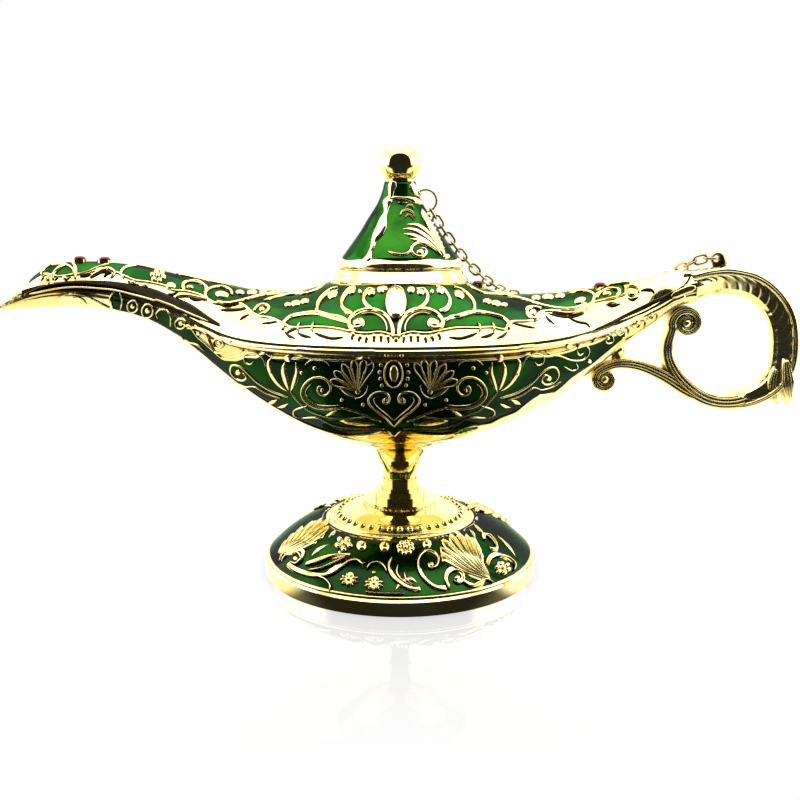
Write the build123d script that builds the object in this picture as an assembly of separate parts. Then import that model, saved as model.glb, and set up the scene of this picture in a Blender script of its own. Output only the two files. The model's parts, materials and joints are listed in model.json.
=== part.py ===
from build123d import *
import math
import os

# Genie oil lamp, in millimetres. +Z is up, the spout points to -X and the finger ring to +X.
# The origin is the middle of the foot's underside.

# Body: two cast shells that meet at a rim
rim_height = 63.0
body_half_width = 35.0
bowl_depth = 28.0
waist_rise = 11.3
dome_rise = 19.5
dome_reach = 28.0
flare_reach = 72.0
shell_wall = 1.6
lip_height = 1.6
lip_step = 0.7

# Spout, its beak and the tail that carries the handle
spout_length = 84.0
spout_half_width = 7.0
spout_keel_rise = 7.5
spout_rim_rise = 13.0
spout_crown_rise = 19.4
beak_length = 21.0
beak_tip_rise = 7.6
beak_tip_half_width = 1.3
cover_setback = 4.5
mouth_radius = 1.5
tail_length = 76.0
tail_half_width = 5.5
tail_keel_rise = 8.5
tail_rim_rise = 13.0
tail_crown_rise = 17.3

# Neck and lid
neck_seat_rise = 17.6
neck_bore_radius = 13.2
neck_top_radius = 15.8
neck_base_radius = 18.0
neck_height = 3.0
lid_clearance = 0.3
plug_depth = 5.0
plug_wall = 1.5
lid_ring_height = 1.7
lid_height = 22.4
lid_top_radius = 3.9
lid_wall = 1.8
knob_radius = 5.3
knob_stud_radius = 1.5
knob_stud_length = 6.0

# Foot and stem
foot_radius = 36.7
foot_rim_height = 3.5
foot_wall = 2.0
foot_dome_radius = 18.3
foot_dome_z = 14.0
flange_radius = 10.0
flange_z = 17.3
flange_height = 1.5
lower_ring_radius = 6.7
lower_ring_height = 2.7
upper_ring_radius = 4.9
upper_ring_height = 2.9
stem_radius = 4.4
stem_height = 10.6
stem_flare = 7.6
screw_radius = 2.0
screw_head_radius = 3.6
screw_head_height = 2.2
screw_bite = 10.0
washer_radius = 5.5
washer_height = 1.0
pad_height = 1.4
pad_recess = 0.3
pad_ledge = 1.6

# Handle
handle_half_width = 3.6
scroll_radius = 3.4
scroll_half_width = 3.0
post_radius = 1.5
post_setback = 18.5
tenon_length = 9.0
tenon_half_width = 2.0
tenon_half_height = 2.0

# Chain
chain_wire = 0.6
chain_pitch = 2.8
chain_play = 0.2
chain_link_width = 2.1
jump_ring_radius = 2.9
jump_ring_reach = 2.8
jump_ring_aside = 1.4
jump_ring_drop = 5.0
hook_room = 0.2
eye_radius = 1.05
lug_radius = 1.4
lug_thickness = 0.8
lug_hole_radius = 0.85
lug_setback = 6.3
lug_rise = 2.0
lug_tang_length = 4.0

# Cast relief on the cover and the foot
relief_height = 0.5
relief_width = 0.65
relief_middle = -1.0
foot_relief_height = 0.65
petal_width = 1.3
flower_radius = 1.1

# Red stones
stone_radius = 1.5
stone_seat_depth = 0.8
bezel_wall = 0.6
bezel_height = 0.5

# Fits
fit_clearance = 0.1

# Levels that several pieces share
keel_z = rim_height - bowl_depth
neck_top_z = rim_height + neck_seat_rise
lid_top_z = neck_top_z + lid_height
flange_top_z = flange_z + flange_height
stem_z = flange_top_z + lower_ring_height + upper_ring_height
spout_reach = spout_length + beak_length
tail_z = rim_height + 0.5 * (tail_keel_rise + tail_crown_rise)
seam_margin = 20.0

# Cross-sections between mid body and the end of the spout or tail:
# share of the length, then how far keel, rim and crown have come from mid body to the end
spout_rows = (
    (0.214, 0.054, 0.00, 0.00),
    (0.310, 0.147, 0.00, 0.02),
    (0.405, 0.280, 0.02, 0.03),
    (0.500, 0.436, 0.10, 0.16),
    (0.595, 0.623, 0.32, 0.34),
    (0.690, 0.793, 0.57, 0.57),
    (0.786, 0.907, 0.79, 0.80),
    (0.893, 0.975, 0.95, 0.96),
    (1.000, 1.000, 1.00, 1.00),
)
tail_rows = (
    (0.237, 0.052, 0.00, 0.00),
    (0.342, 0.126, 0.00, -0.05),
    (0.447, 0.225, 0.02, -0.08),
    (0.553, 0.350, 0.08, -0.03),
    (0.658, 0.520, 0.20, 0.15),
    (0.763, 0.693, 0.36, 0.42),
    (0.868, 0.850, 0.61, 0.72),
    (1.000, 1.000, 1.00, 1.00),
)
# Beak: share of its length, then how far width, keel, rim and crown have closed to the tip
beak_rows = (
    (0.38, 0.18, 0.10, 0.13, 0.15),
    (0.67, 0.48, 0.60, 0.41, 0.53),
    (0.86, 0.80, 0.90, 0.72, 0.82),
    (1.00, 1.00, 1.00, 1.00, 1.00),
)
beak_tip_depth = 0.8
beak_tip_crown = 0.6


def mix(start, end, share):
    return start + (end - start) * share


def flare(x):
    """How far the body is swelled at x: 1 on the lamp axis, 0 where the spout or tail starts."""
    return max(0.0, 1 - (x / flare_reach) ** 2) ** 1.7


def dome(x):
    """How far the crown is raised towards the neck at x."""
    return max(0.0, 1 - (x / dome_reach) ** 2) ** 2


def side_stations(rows, length, sign, half_width, keel_rise, rim_rise, crown_rise):
    stations = []
    for share, keel, rim, crown in rows:
        x = length * share
        waist = mix(waist_rise, dome_rise, dome(x))
        stations.append((
            sign * x,
            mix(half_width, body_half_width, flare(x)),
            mix(keel_z, rim_height + keel_rise, keel),
            rim_height + rim_rise * rim,
            rim_height + waist + (crown_rise - waist_rise) * crown,
        ))
    return stations


def beak_stations():
    tip_z = rim_height + beak_tip_rise
    return [
        (
            -spout_length - beak_length * share,
            mix(spout_half_width, beak_tip_half_width, width),
            mix(rim_height + spout_keel_rise, tip_z - beak_tip_depth, keel),
            mix(rim_height + spout_rim_rise, tip_z, rim),
            mix(rim_height + spout_crown_rise, tip_z + beak_tip_crown, crown),
        )
        for share, width, keel, rim, crown in beak_rows
    ]


spout_stations = side_stations(
    spout_rows, spout_length, -1, spout_half_width, spout_keel_rise, spout_rim_rise, spout_crown_rise
)
tail_stations = side_stations(
    tail_rows, tail_length, 1, tail_half_width, tail_keel_rise, tail_rim_rise, tail_crown_rise
)
middle_station = (0.0, body_half_width, keel_z, rim_height, rim_height + dome_rise)
body_stations = (
    beak_stations()[::-1] + spout_stations[::-1] + [middle_station] + tail_stations
)


def crown_curve(x, half_width, low, crown):
    """Arched line across the body, from one side to the other."""
    shares = (-1, -0.75, -0.4, 0, 0.4, 0.75, 1)
    return Spline(*[(x, half_width * s, crown - (crown - low) * s * s) for s in shares])


def bowl_curve(x, half_width, high, keel):
    """Bowl line across the body, from one side down over the keel to the other."""
    shares = (1, 0.96, 0.85, 0.65, 0.35, 0, -0.35, -0.65, -0.85, -0.96, -1)
    depth = high - keel
    points = [(x, half_width * s, high - depth * math.sqrt(1 - abs(s) ** 2.4)) for s in shares]
    return Spline(*points)


def outer_section(x, half_width, keel, rim, crown):
    inset = half_width - lip_step
    above = rim + min(lip_height, 0.45 * (crown - rim))
    below = rim - min(lip_height, 0.45 * (rim - keel))
    bevel = 0.25 * (above - rim)
    left = Polyline(
        (x, inset, above),
        (x, half_width, above - bevel),
        (x, half_width, below + bevel),
        (x, inset, below),
    )
    right = Polyline(
        (x, -inset, below),
        (x, -half_width, below + bevel),
        (x, -half_width, above - bevel),
        (x, -inset, above),
    )
    top = crown_curve(x, inset, above, crown)
    bottom = bowl_curve(x, inset, below, keel)
    return Wire([top, *left.edges(), bottom, *right.edges()])


def inner_section(x, half_width, keel, rim, crown):
    inset = half_width - lip_step - shell_wall
    return Wire([
        crown_curve(x, inset, rim, crown - shell_wall),
        bowl_curve(x, inset, rim, keel + shell_wall),
    ])


def body_outer():
    return Solid.make_loft([outer_section(*s) for s in body_stations])


# Scrolls of the cover in plan, on the front; the back has the same. x is from the pattern's middle in
# the paired scrolls, which stand left and right of it, and from the lamp's axis in the others
paired_scrolls = (
    ((0.8, -32.6), (1.7, -28.6), (5.7, -26.0), (10.1, -26.7), (11.0, -28.0), (10.5, -29.4), (8.8, -30.1)),
    ((5.1, -20.1), (7.4, -20.8), (7.5, -23.0), (5.5, -25.8)),
    ((9.8, -17.0), (12.7, -19.6), (12.9, -22.0), (10.4, -25.6)),
    ((14.3, -14.5), (16.3, -14.3), (18.9, -18.5), (18.7, -21.9)),
    ((11.0, -28.0), (15.6, -24.8), (21.9, -20.8), (26.3, -20.9), (26.9, -24.0)),
)
tail_scrolls = (
    ((27.5, -6.0), (32.4, -8.9), (36.2, -11.7), (40.0, -12.4), (46.9, -9.5)),
    ((41.2, -14.1), (45.0, -12.6), (49.4, -7.4), (48.2, -2.7)),
    ((35.0, -13.3), (31.3, -15.0), (32.6, -18.1), (34.3, -16.8)),
    ((50.1, -7.3), (51.6, -4.8), (56.2, -4.6), (55.4, -6.6)),
)
spout_scrolls = (
    ((-45.8, -11.5), (-40.1, -11.0), (-33.0, -5.0), (-24.0, -7.5)),
    ((-35.9, -15.5), (-33.3, -13.1), (-32.4, -14.9), (-34.0, -17.0)),
    ((-48.4, -10.6), (-49.1, -8.1), (-46.4, -4.4), (-42.6, -8.0)),
    ((-54.7, -8.0), (-54.2, -4.4), (-50.3, -4.8), (-49.4, -7.5)),
)
beak_scrolls = (
    ((-79.1, -5.0), (-76.2, -4.0), (-73.4, -4.3)),
    ((-88.7, -4.9), (-88.0, -3.5), (-86.2, -2.9)),
)
cover_boss = (-23.6, 2.4, 4.2)


def ridges(lines, low, high):
    """Upright walls along smooth lines in plan, for relief to be cut from."""
    return [extrude(Pos(0, 0, low) * trace(Spline(*line), relief_width), amount=high - low) for line in lines]


def front_and_back(lines):
    return [[(x, side * y) for x, y in line] for line in lines for side in (1, -1)]


def cover_relief(outer):
    """Scrolls that stand a little over the cover, cut from upright walls by the body moved up."""
    pairs = [[(relief_middle + side * x, y) for x, y in line] for line in paired_scrolls for side in (1, -1)]
    floor = rim_height + 0.5 * lip_height
    walls = ridges(front_and_back(pairs), floor, lid_top_z)
    ends = front_and_back(tail_scrolls + spout_scrolls)
    walls += ridges(ends, rim_height + 0.4 * waist_rise, lid_top_z)
    walls += ridges(front_and_back(beak_scrolls), rim_height + spout_rim_rise, lid_top_z)
    y, across, deep = cover_boss
    for side in (1, -1):
        walls.append(extrude(Pos(relief_middle, side * y, floor) * Ellipse(across, deep), amount=dome_rise))
    moved = Pos(0, 0, relief_height) * outer
    return [wall & moved for wall in walls]


def body_cavity():
    return Solid.make_loft([inner_section(*s) for s in body_stations[2:-1]])


def above_seam():
    """Everything over the rim line, which runs straight across the body."""
    line = [(s[0], 0, s[3]) for s in body_stations]
    first, last = line[0], line[-1]
    start = (first[0] - seam_margin, 0, first[2])
    end = (last[0] + seam_margin, 0, last[2])
    roof = lid_top_z
    sides = Polyline(last, end, (end[0], 0, roof), (start[0], 0, roof), start, first)
    outline = Wire([Spline(*line), *sides.edges()])
    return extrude(Face(outline), amount=2 * body_half_width, dir=(0, 1, 0), both=True)


def spout_mouth():
    """Bore from the cavity out over the beak."""
    inside, lip = beak_stations()[0], beak_stations()[2]
    start = Vector(inside[0], 0, inside[3])
    end = Vector(lip[0], 0, lip[3] + 0.5 * mouth_radius)
    way = end - start
    return Plane(origin=start, z_dir=way) * Cylinder(
        mouth_radius, 2 * way.length, align=(Align.CENTER, Align.CENTER, Align.MIN)
    )


def bent(*points):
    """Smooth stretch of a turned outline, through radius and height points."""
    return [Spline(*[(r, 0, z) for r, z in points])]


def straight(*points):
    return list(Polyline(*[(r, 0, z) for r, z in points]).edges())


def turned(*stretches):
    """Solid of revolution about the lamp axis from the stretches of its outline."""
    return revolve(Face(Wire(sum(stretches, []))), axis=Axis.Z)


def ring_solid(outer, inner, low, high):
    return turned(straight((inner, low), (outer, low), (outer, high), (inner, high), (inner, low)))


def disc_solid(radius, low, high):
    return Pos(0, 0, low) * Cylinder(radius, high - low, align=(Align.CENTER, Align.CENTER, Align.MIN))


def crown_at(x):
    """Height of the body's top line over the lamp's length."""
    line = Spline(*[(s[0], 0, s[4]) for s in body_stations])
    hits = line.intersect(Axis((x, 0, 0), (0, 0, 1)))
    return hits[0].center().Z


stone_xs = (
    -spout_length + 0.6,
    -spout_length + 7.1,
    neck_base_radius + 2.4,
    tail_length - 23.6,
)


def stone_level(x):
    return crown_at(x) + bezel_height


def standing(x, low, radius, height):
    """Upright cylinder over the body's middle line."""
    return Pos(x, 0, low) * Cylinder(radius, height, align=(Align.CENTER, Align.CENTER, Align.MIN))


def stone_seats():
    bezels, pockets = [], []
    for x in stone_xs:
        top = stone_level(x)
        tall = bezel_height + shell_wall
        bezels.append(standing(x, top - tall, stone_radius + bezel_wall, tall))
        pockets.append(standing(x, top - stone_seat_depth, stone_radius + fit_clearance, 3 * stone_radius))
    return bezels, pockets


def red_stone(x):
    top = stone_level(x)
    seat = standing(x, top - stone_seat_depth, stone_radius, stone_seat_depth)
    button = Pos(x, 0, top) * Sphere(stone_radius)
    return seat + (button & standing(x, top, 2 * stone_radius, 2 * stone_radius))


def handle_tenon(clearance):
    return Pos(tail_length, 0, tail_z) * Box(
        tenon_length + clearance,
        2 * (tenon_half_width + clearance),
        2 * (tenon_half_height + clearance),
        align=(Align.MAX, Align.CENTER, Align.CENTER),
    )


def neck():
    base_z = neck_top_z - neck_height
    root_z = base_z - shell_wall
    return turned(straight(
        (neck_bore_radius, root_z), (neck_base_radius, root_z), (neck_base_radius, base_z),
        (neck_top_radius, neck_top_z), (neck_bore_radius, neck_top_z), (neck_bore_radius, root_z),
    ))


def upper_shell(outer, cavity, over):
    shell = (outer + cover_relief(outer) - cavity) & over
    front = Pos(-spout_reach + cover_setback, 0, 0) * Box(
        beak_length, 2 * body_half_width, 2 * lid_top_z, align=(Align.MAX, Align.CENTER, Align.CENTER)
    )
    bezels, pockets = stone_seats()
    shell = shell - front + neck() + bezels
    shell = shell - disc_solid(neck_bore_radius, rim_height, lid_top_z) - pockets
    return shell - spout_mouth() - handle_tenon(fit_clearance)


def stem():
    """Waisted funnel under the bowl, with a thick boss inside for the foot's screw."""
    edge = stem_radius + stem_flare
    top_z = stem_z + stem_height
    boss_top = keel_z + 2 * shell_wall
    funnel = bent(
        (stem_radius, stem_z),
        (stem_radius + 0.07 * stem_flare, stem_z + 0.26 * stem_height),
        (stem_radius + 0.21 * stem_flare, stem_z + 0.53 * stem_height),
        (stem_radius + 0.49 * stem_flare, stem_z + 0.81 * stem_height),
        (edge, top_z),
    )
    rest = straight(
        (edge, top_z), (edge, keel_z + shell_wall), (washer_radius, boss_top),
        (0, boss_top), (0, stem_z), (stem_radius, stem_z),
    )
    return turned(funnel, rest)


def lower_shell(hollow, over):
    shell = hollow - over + stem()
    screw_hole = disc_solid(screw_radius + fit_clearance, stem_z - 1, stem_z + screw_bite + 1)
    return shell - screw_hole - spout_mouth() - handle_tenon(fit_clearance)


def foot_side(inset):
    """Radius and height of the foot's swelled side, from the rim up, moved in by a wall."""
    shoulder = foot_radius - foot_dome_radius
    climb = foot_dome_z - foot_rim_height
    shares = ((0, 0), (0.2, 0.34), (0.5, 0.72), (1, 1))
    return [
        (foot_radius - shoulder * out - inset, foot_rim_height + climb * up - inset) for out, up in shares
    ]


# Sprays, curls and flowers of the foot in plan, on the front; the back has the same, half a turn on
foot_scrolls = (
    ((11.0, -33.0), (5.8, -32.0), (4.5, -29.0), (6.4, -25.2), (9.2, -26.2), (8.4, -28.8)),
    ((11.8, -32.6), (11.2, -30.6), (13.4, -28.4), (15.3, -29.3), (14.0, -31.0)),
    ((15.0, -30.3), (17.0, -30.6), (20.9, -27.5)),
    ((-2.0, -27.4), (-2.7, -29.4), (-0.5, -33.0), (4.8, -34.3)),
    ((-28.6, -18.7), (-20.7, -26.9), (-16.9, -28.1), (-12.3, -26.7), (-8.8, -28.4)),
    ((-23.6, -22.5), (-17.5, -23.6), (-12.4, -25.1)),
    ((-30.8, -15.3), (-28.3, -14.5), (-24.9, -19.5), (-26.1, -20.3)),
    ((21.7, -23.9), (25.0, -18.7), (29.2, -17.9)),
    ((21.7, -15.4), (22.5, -12.7), (24.6, -14.5), (23.0, -18.0)),
)
foot_palmettes = (
    ((21.9, -26.9), ((10.1, -25.7), (10.6, -20.6), (14.2, -15.5), (18.7, -16.7))),
    ((-24.1, -17.6), ((-31.1, -10.5), (-28.4, -6.8), (-22.9, -4.8))),
)
foot_flowers = (
    (-14.1, -20.7), (1.4, -24.4), (25.7, -21.9), (-9.6, -22.6), (-3.9, -23.9), (6.7, -22.6),
    (-12.3, -30.8), (-6.2, -32.9),
)


def foot_relief(skin):
    """Relief that stands a little over the foot's side, cut from upright walls by the foot moved up."""
    low = foot_rim_height
    walls = ridges(foot_scrolls, low, stem_z)
    for root, tips in foot_palmettes:
        for tip in tips:
            heart = tuple(mix(r, t, 0.45) for r, t in zip(root, tip))
            walls.append(extrude(Pos(0, 0, low) * trace(Line(heart, tip), petal_width), amount=stem_z - low))
    walls += [Pos(x, y, 0) * disc_solid(flower_radius, low, stem_z) for x, y in foot_flowers]
    moved = Pos(0, 0, foot_relief_height) * skin
    front = [wall & moved for wall in walls]
    return front + [Rot(0, 0, 180) * piece for piece in front]


def foot():
    side = foot_side(0)
    dome_mid = (0.5 * (foot_dome_radius + flange_radius), mix(foot_dome_z, flange_z, 0.7))
    lower_ring_z = flange_top_z + lower_ring_height
    skin = turned(
        straight((0, 0), (foot_radius, 0), side[0]),
        bent(*side),
        bent(side[-1], dome_mid, (flange_radius, flange_z)),
        straight(
            (flange_radius, flange_z), (flange_radius, flange_top_z), (lower_ring_radius, flange_top_z),
            (lower_ring_radius, lower_ring_z), (upper_ring_radius, lower_ring_z), (upper_ring_radius, stem_z),
            (0, stem_z), (0, 0),
        ),
    )
    ceiling = foot_side(foot_wall)
    floor_radius = foot_radius - foot_wall - pad_ledge
    hollow = turned(straight(
        (0, 0), (floor_radius, 0), (floor_radius, ceiling[0][1]), *ceiling[1:], (0, ceiling[-1][1]), (0, 0)
    ))
    recess = disc_solid(foot_radius - foot_wall, 0, pad_recess + pad_height)
    bore = disc_solid(screw_radius + fit_clearance, 0, stem_z)
    return skin + foot_relief(skin) - hollow - recess - bore


screw_head_z = foot_dome_z - foot_wall - washer_height


def foot_washer():
    return ring_solid(washer_radius, screw_radius + fit_clearance, screw_head_z, screw_head_z + washer_height)


def foot_screw():
    head = disc_solid(screw_head_radius, screw_head_z - screw_head_height, screw_head_z)
    shank = disc_solid(screw_radius, screw_head_z, stem_z + screw_bite)
    slot = Pos(0, 0, screw_head_z - screw_head_height) * Box(2 * screw_head_radius, 0.9, 1.6)
    return head + shank - slot


def base_pad():
    return disc_solid(foot_radius - foot_wall - fit_clearance, pad_recess, pad_recess + pad_height)


def lid_side(inset):
    """Radius and height of the lid's hollow-sided cone, from its ring up, moved in by a wall."""
    spread = neck_top_radius - lid_top_radius
    low = neck_top_z + lid_ring_height
    shares = ((1, 0), (0.72, 0.22), (0.50, 0.40), (0.34, 0.55), (0.17, 0.70), (0.06, 0.84), (0, 1))
    return [(lid_top_radius + spread * out - inset, mix(low, lid_top_z, up)) for out, up in shares]


def lid():
    plug_radius = neck_bore_radius - lid_clearance
    side = lid_side(0)
    skin = turned(
        straight((0, neck_top_z), (neck_top_radius, neck_top_z), side[0]),
        bent(*side),
        straight(side[-1], (0, lid_top_z), (0, neck_top_z)),
    )
    plug = ring_solid(plug_radius, plug_radius - plug_wall, neck_top_z - plug_depth, neck_top_z)
    inside = lid_side(lid_wall)
    bottom = (0, neck_top_z)
    hollow = turned(straight(
        bottom, (plug_radius - plug_wall, neck_top_z), *inside[1:4], (0, inside[3][1]), bottom
    ))
    stud_low = lid_top_z - knob_stud_length - fit_clearance
    stud_hole = disc_solid(knob_stud_radius + fit_clearance, stud_low, lid_top_z)
    return skin + plug - hollow - stud_hole - eye_shank(fit_clearance)


def lid_knob():
    seat = 0.9 * lid_top_radius
    centre = lid_top_z + math.sqrt(knob_radius ** 2 - seat ** 2)
    ball = Pos(0, 0, centre) * Sphere(knob_radius)
    below = disc_solid(2 * knob_radius, lid_top_z - 2 * knob_radius, lid_top_z)
    return ball - below + disc_solid(knob_stud_radius, lid_top_z - knob_stud_length, lid_top_z)


# The jump ring hangs beside the lid's top, in a plane square to Y
jump_ring_centre = Vector(
    lid_top_radius + jump_ring_reach, lid_top_radius + jump_ring_aside, lid_top_z - jump_ring_drop
)
eye_angle = math.radians(130)
eye_out = Vector(math.cos(eye_angle), 0, math.sin(eye_angle))
eye_centre = jump_ring_centre + eye_out * jump_ring_radius


def eye_shank(clearance):
    """Round pin from the eye's loop into the lid."""
    inward = Vector(-eye_centre.X, -eye_centre.Y, 0)
    start = eye_centre + inward.normalized() * eye_radius
    end = inward.length - eye_radius - 2.5
    return Plane(origin=start, z_dir=inward) * Cylinder(
        0.75 * chain_wire + clearance, end, align=(Align.CENTER, Align.CENTER, Align.MIN)
    )


def lid_eye():
    along = Vector(-eye_out.Z, 0, eye_out.X)
    loop = Plane(origin=eye_centre, z_dir=along) * Torus(eye_radius, chain_wire / 2)
    clear = Plane(origin=eye_centre, z_dir=along) * Cylinder(eye_radius - chain_wire / 2, 4 * eye_radius)
    return loop + (eye_shank(0) - clear)


def jump_ring():
    return Plane(origin=jump_ring_centre, z_dir=(0, 1, 0)) * Torus(jump_ring_radius, chain_wire / 2)


# Middle line of the handle from the tail round the finger ring to the inner scroll:
# x from the tail's end and z from its middle, then half the thickness of the strap
ring_line = (
    (0.0, 0.3, 4.2),
    (4.5, 1.4, 3.8),
    (10.0, 1.7, 3.7),
    (16.3, 0.1, 3.6),
    (21.2, -3.7, 3.5),
    (24.4, -8.9, 3.5),
    (25.5, -15.4, 3.5),
    (25.0, -21.4, 3.3),
    (22.2, -26.1, 2.9),
    (16.9, -29.3, 2.4),
    (10.2, -30.5, 2.1),
    (4.2, -29.1, 2.1),
    (-1.3, -25.0, 2.0),
    (-4.8, -20.1, 1.7),
    (-5.7, -15.4, 1.5),
    (-4.8, -11.1, 1.3),
)
arm_line = (
    (5.0, -29.5, 1.9),
    (0.0, -27.2, 1.9),
    (-6.5, -23.3, 1.7),
    (-13.0, -20.6, 1.6),
    (-19.0, -20.1, 1.5),
    (-23.6, -22.1, 1.3),
)
inner_scroll = (-1.0, -9.5)
outer_scroll = (-21.9, -24.3)


def strap(line, half_width):
    """Tapered strap of oval section along a line in the XZ plane."""
    sections = []
    for i, (x, z, thick) in enumerate(line):
        before, after = line[max(i - 1, 0)], line[min(i + 1, len(line) - 1)]
        way = (1, 0, 0) if x == 0 else (after[0] - before[0], 0, after[1] - before[1])
        wide = half_width * mix(0.62, 1.0, thick / line[0][2])
        place = Plane(origin=(tail_length + x, 0, tail_z + z), x_dir=(0, 1, 0), z_dir=way)
        sections.append((place * Ellipse(wide, thick)).wire())
    return Solid.make_loft(sections)


def scroll(place):
    x, z = place
    disc = Rot(90, 0, 0) * Cylinder(scroll_radius, 2 * scroll_half_width)
    return Pos(tail_length + x, 0, tail_z + z) * disc


lug_centre = Vector(tail_length + lug_setback, 0, tail_z + ring_line[1][1] + ring_line[1][2] + lug_rise)


def lug_tang(clearance):
    """Pin of the lug, from inside its plate down into the handle."""
    top = lug_centre.Z - 0.5 * (lug_radius + lug_hole_radius)
    return Pos(lug_centre.X, 0, top) * Cylinder(
        0.5 * lug_thickness + clearance, lug_tang_length, align=(Align.CENTER, Align.CENTER, Align.MAX)
    )


def handle(outer):
    casting = strap(ring_line, handle_half_width) + strap(arm_line, handle_half_width)
    casting = casting + scroll(inner_scroll) + scroll(outer_scroll)
    post_z = tail_z + arm_line[-2][1]
    post = Pos(tail_length - post_setback, 0, post_z) * Cylinder(
        post_radius, rim_height - post_z, align=(Align.CENTER, Align.CENTER, Align.MIN)
    )
    return casting + (post - outer) + handle_tenon(0) - lug_tang(fit_clearance)


def chain_lug():
    side_on = Rot(90, 0, 0)
    plate = Pos(lug_centre) * side_on * Cylinder(lug_radius, lug_thickness)
    hole = Pos(lug_centre) * side_on * Cylinder(lug_hole_radius, 2 * lug_thickness)
    return plate + lug_tang(0) - hole


# The chain's rest line, chosen by hand: from the lug, down behind the body and up to the jump ring.
# Share of the way, how far behind the lamp's middle, and how far below the straight way
chain_line = (
    (0.050, 0.5, 0.8),
    (0.093, 2.6, 3.0),
    (0.138, 6.0, 6.3),
    (0.206, 9.2, 10.0),
    (0.286, 11.8, 13.2),
    (0.374, 14.0, 15.7),
    (0.468, 15.8, 17.7),
    (0.562, 16.8, 19.0),
    (0.643, 16.0, 19.2),
    (0.703, 13.6, 18.7),
    (0.753, 10.6, 17.6),
    (0.813, 7.4, 15.2),
    (0.864, 6.0, 12.3),
    (0.914, 5.5, 8.4),
    (0.951, 5.3, 5.1),
)
chain_end_angle = math.radians(-58)
chain_end = jump_ring_centre + Vector(math.cos(chain_end_angle), 0, math.sin(chain_end_angle)) * (
    jump_ring_radius - 0.5 * (chain_wire + chain_play) - hook_room
)


def chain_joints():
    """Points between the links, evenly along the rest line. An odd count of links suits both ends."""
    way = chain_end - lug_centre
    line = [
        (lug_centre.X + way.X * share, behind, lug_centre.Z + way.Z * share - sag)
        for share, behind, sag in chain_line
    ]
    route = Spline(lug_centre, *line, chain_end)
    count = round(route.length / chain_pitch)
    count += 1 - count % 2
    return [route.position_at(i / count) for i in range(count + 1)]


def chain_link(start, end, upright):
    """Oval wire link between two joints, turned a quarter against its neighbours."""
    way = end - start
    wide = Vector(0, 1, 0).cross(way) if upright else way.cross(Vector(0, 1, 0)).cross(way)
    plane = Plane(origin=(start + end) / 2, x_dir=way, z_dir=way.cross(wide))
    straight = way.length + chain_wire + chain_play - chain_link_width
    path = (plane * SlotCenterToCenter(straight, chain_link_width)).wire()
    start_plane = Plane(origin=path.position_at(0), z_dir=path.tangent_at(0))
    return sweep(start_plane * Circle(chain_wire / 2), path=path)


def build():
    outer = body_outer()
    cavity = body_cavity()
    over = above_seam()
    pieces = {
        "lower_shell": lower_shell(outer - cavity, over),
        "upper_shell": upper_shell(outer, cavity, over),
        "foot": foot(),
        "foot_screw": foot_screw(),
        "foot_washer": foot_washer(),
        "base_pad": base_pad(),
        "handle": handle(outer),
        "chain_lug": chain_lug(),
        "lid": lid(),
        "lid_knob": lid_knob(),
        "lid_eye": lid_eye(),
        "jump_ring": jump_ring(),
    }
    for i, x in enumerate(stone_xs):
        pieces[f"red_stone_{i + 1}"] = red_stone(x)
    joints = chain_joints()
    for i, (start, end) in enumerate(zip(joints, joints[1:])):
        pieces[f"chain_link_{i + 1:02d}"] = chain_link(start, end, i % 2 == 1)
    return pieces


if __name__ == "__main__":
    os.makedirs("parts", exist_ok=True)
    for name, piece in build().items():
        export_step(piece, f"parts/{name}.step")
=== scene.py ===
import json
import math
import bpy
import bmesh
import numpy
from mathutils import Matrix, Vector
from mathutils.bvhtree import BVHTree


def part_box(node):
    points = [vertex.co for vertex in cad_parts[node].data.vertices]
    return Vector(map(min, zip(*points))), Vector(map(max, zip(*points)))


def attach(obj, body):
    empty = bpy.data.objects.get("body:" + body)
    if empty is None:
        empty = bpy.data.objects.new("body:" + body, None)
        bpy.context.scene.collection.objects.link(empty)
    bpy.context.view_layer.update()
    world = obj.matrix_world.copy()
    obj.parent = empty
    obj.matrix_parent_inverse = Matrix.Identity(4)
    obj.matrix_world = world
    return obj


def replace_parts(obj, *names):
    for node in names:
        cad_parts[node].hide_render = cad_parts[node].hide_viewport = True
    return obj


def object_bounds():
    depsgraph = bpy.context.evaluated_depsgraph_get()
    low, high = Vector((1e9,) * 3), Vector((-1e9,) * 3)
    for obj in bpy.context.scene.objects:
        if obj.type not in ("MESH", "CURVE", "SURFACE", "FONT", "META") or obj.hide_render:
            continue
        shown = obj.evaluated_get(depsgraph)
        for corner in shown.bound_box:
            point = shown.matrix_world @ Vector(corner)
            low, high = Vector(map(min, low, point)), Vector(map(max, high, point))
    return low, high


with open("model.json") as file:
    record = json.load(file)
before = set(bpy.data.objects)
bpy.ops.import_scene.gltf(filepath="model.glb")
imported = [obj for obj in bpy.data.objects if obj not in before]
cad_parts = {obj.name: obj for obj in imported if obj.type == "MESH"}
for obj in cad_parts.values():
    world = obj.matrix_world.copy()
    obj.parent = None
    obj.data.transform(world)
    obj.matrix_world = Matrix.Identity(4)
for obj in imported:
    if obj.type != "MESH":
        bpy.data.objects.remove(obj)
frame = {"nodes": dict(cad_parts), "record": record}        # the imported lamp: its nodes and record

scene = bpy.context.scene
nodes = frame["nodes"]
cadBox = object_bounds()
mm = 0.001
pixel = mm / 3.8         # one pixel of the photograph at the lamp, in metres
print("frame loaded:", len(nodes), "nodes")

photoView = {
    "place": (0.0, -0.240, 0.0893),
    "pitch": 10.3,       # degrees below level
    "focal": 911.0,      # in pixels
    "side": 800.0,       # pixels along one side of the frame
    "sensor": 36.0,
}


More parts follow.
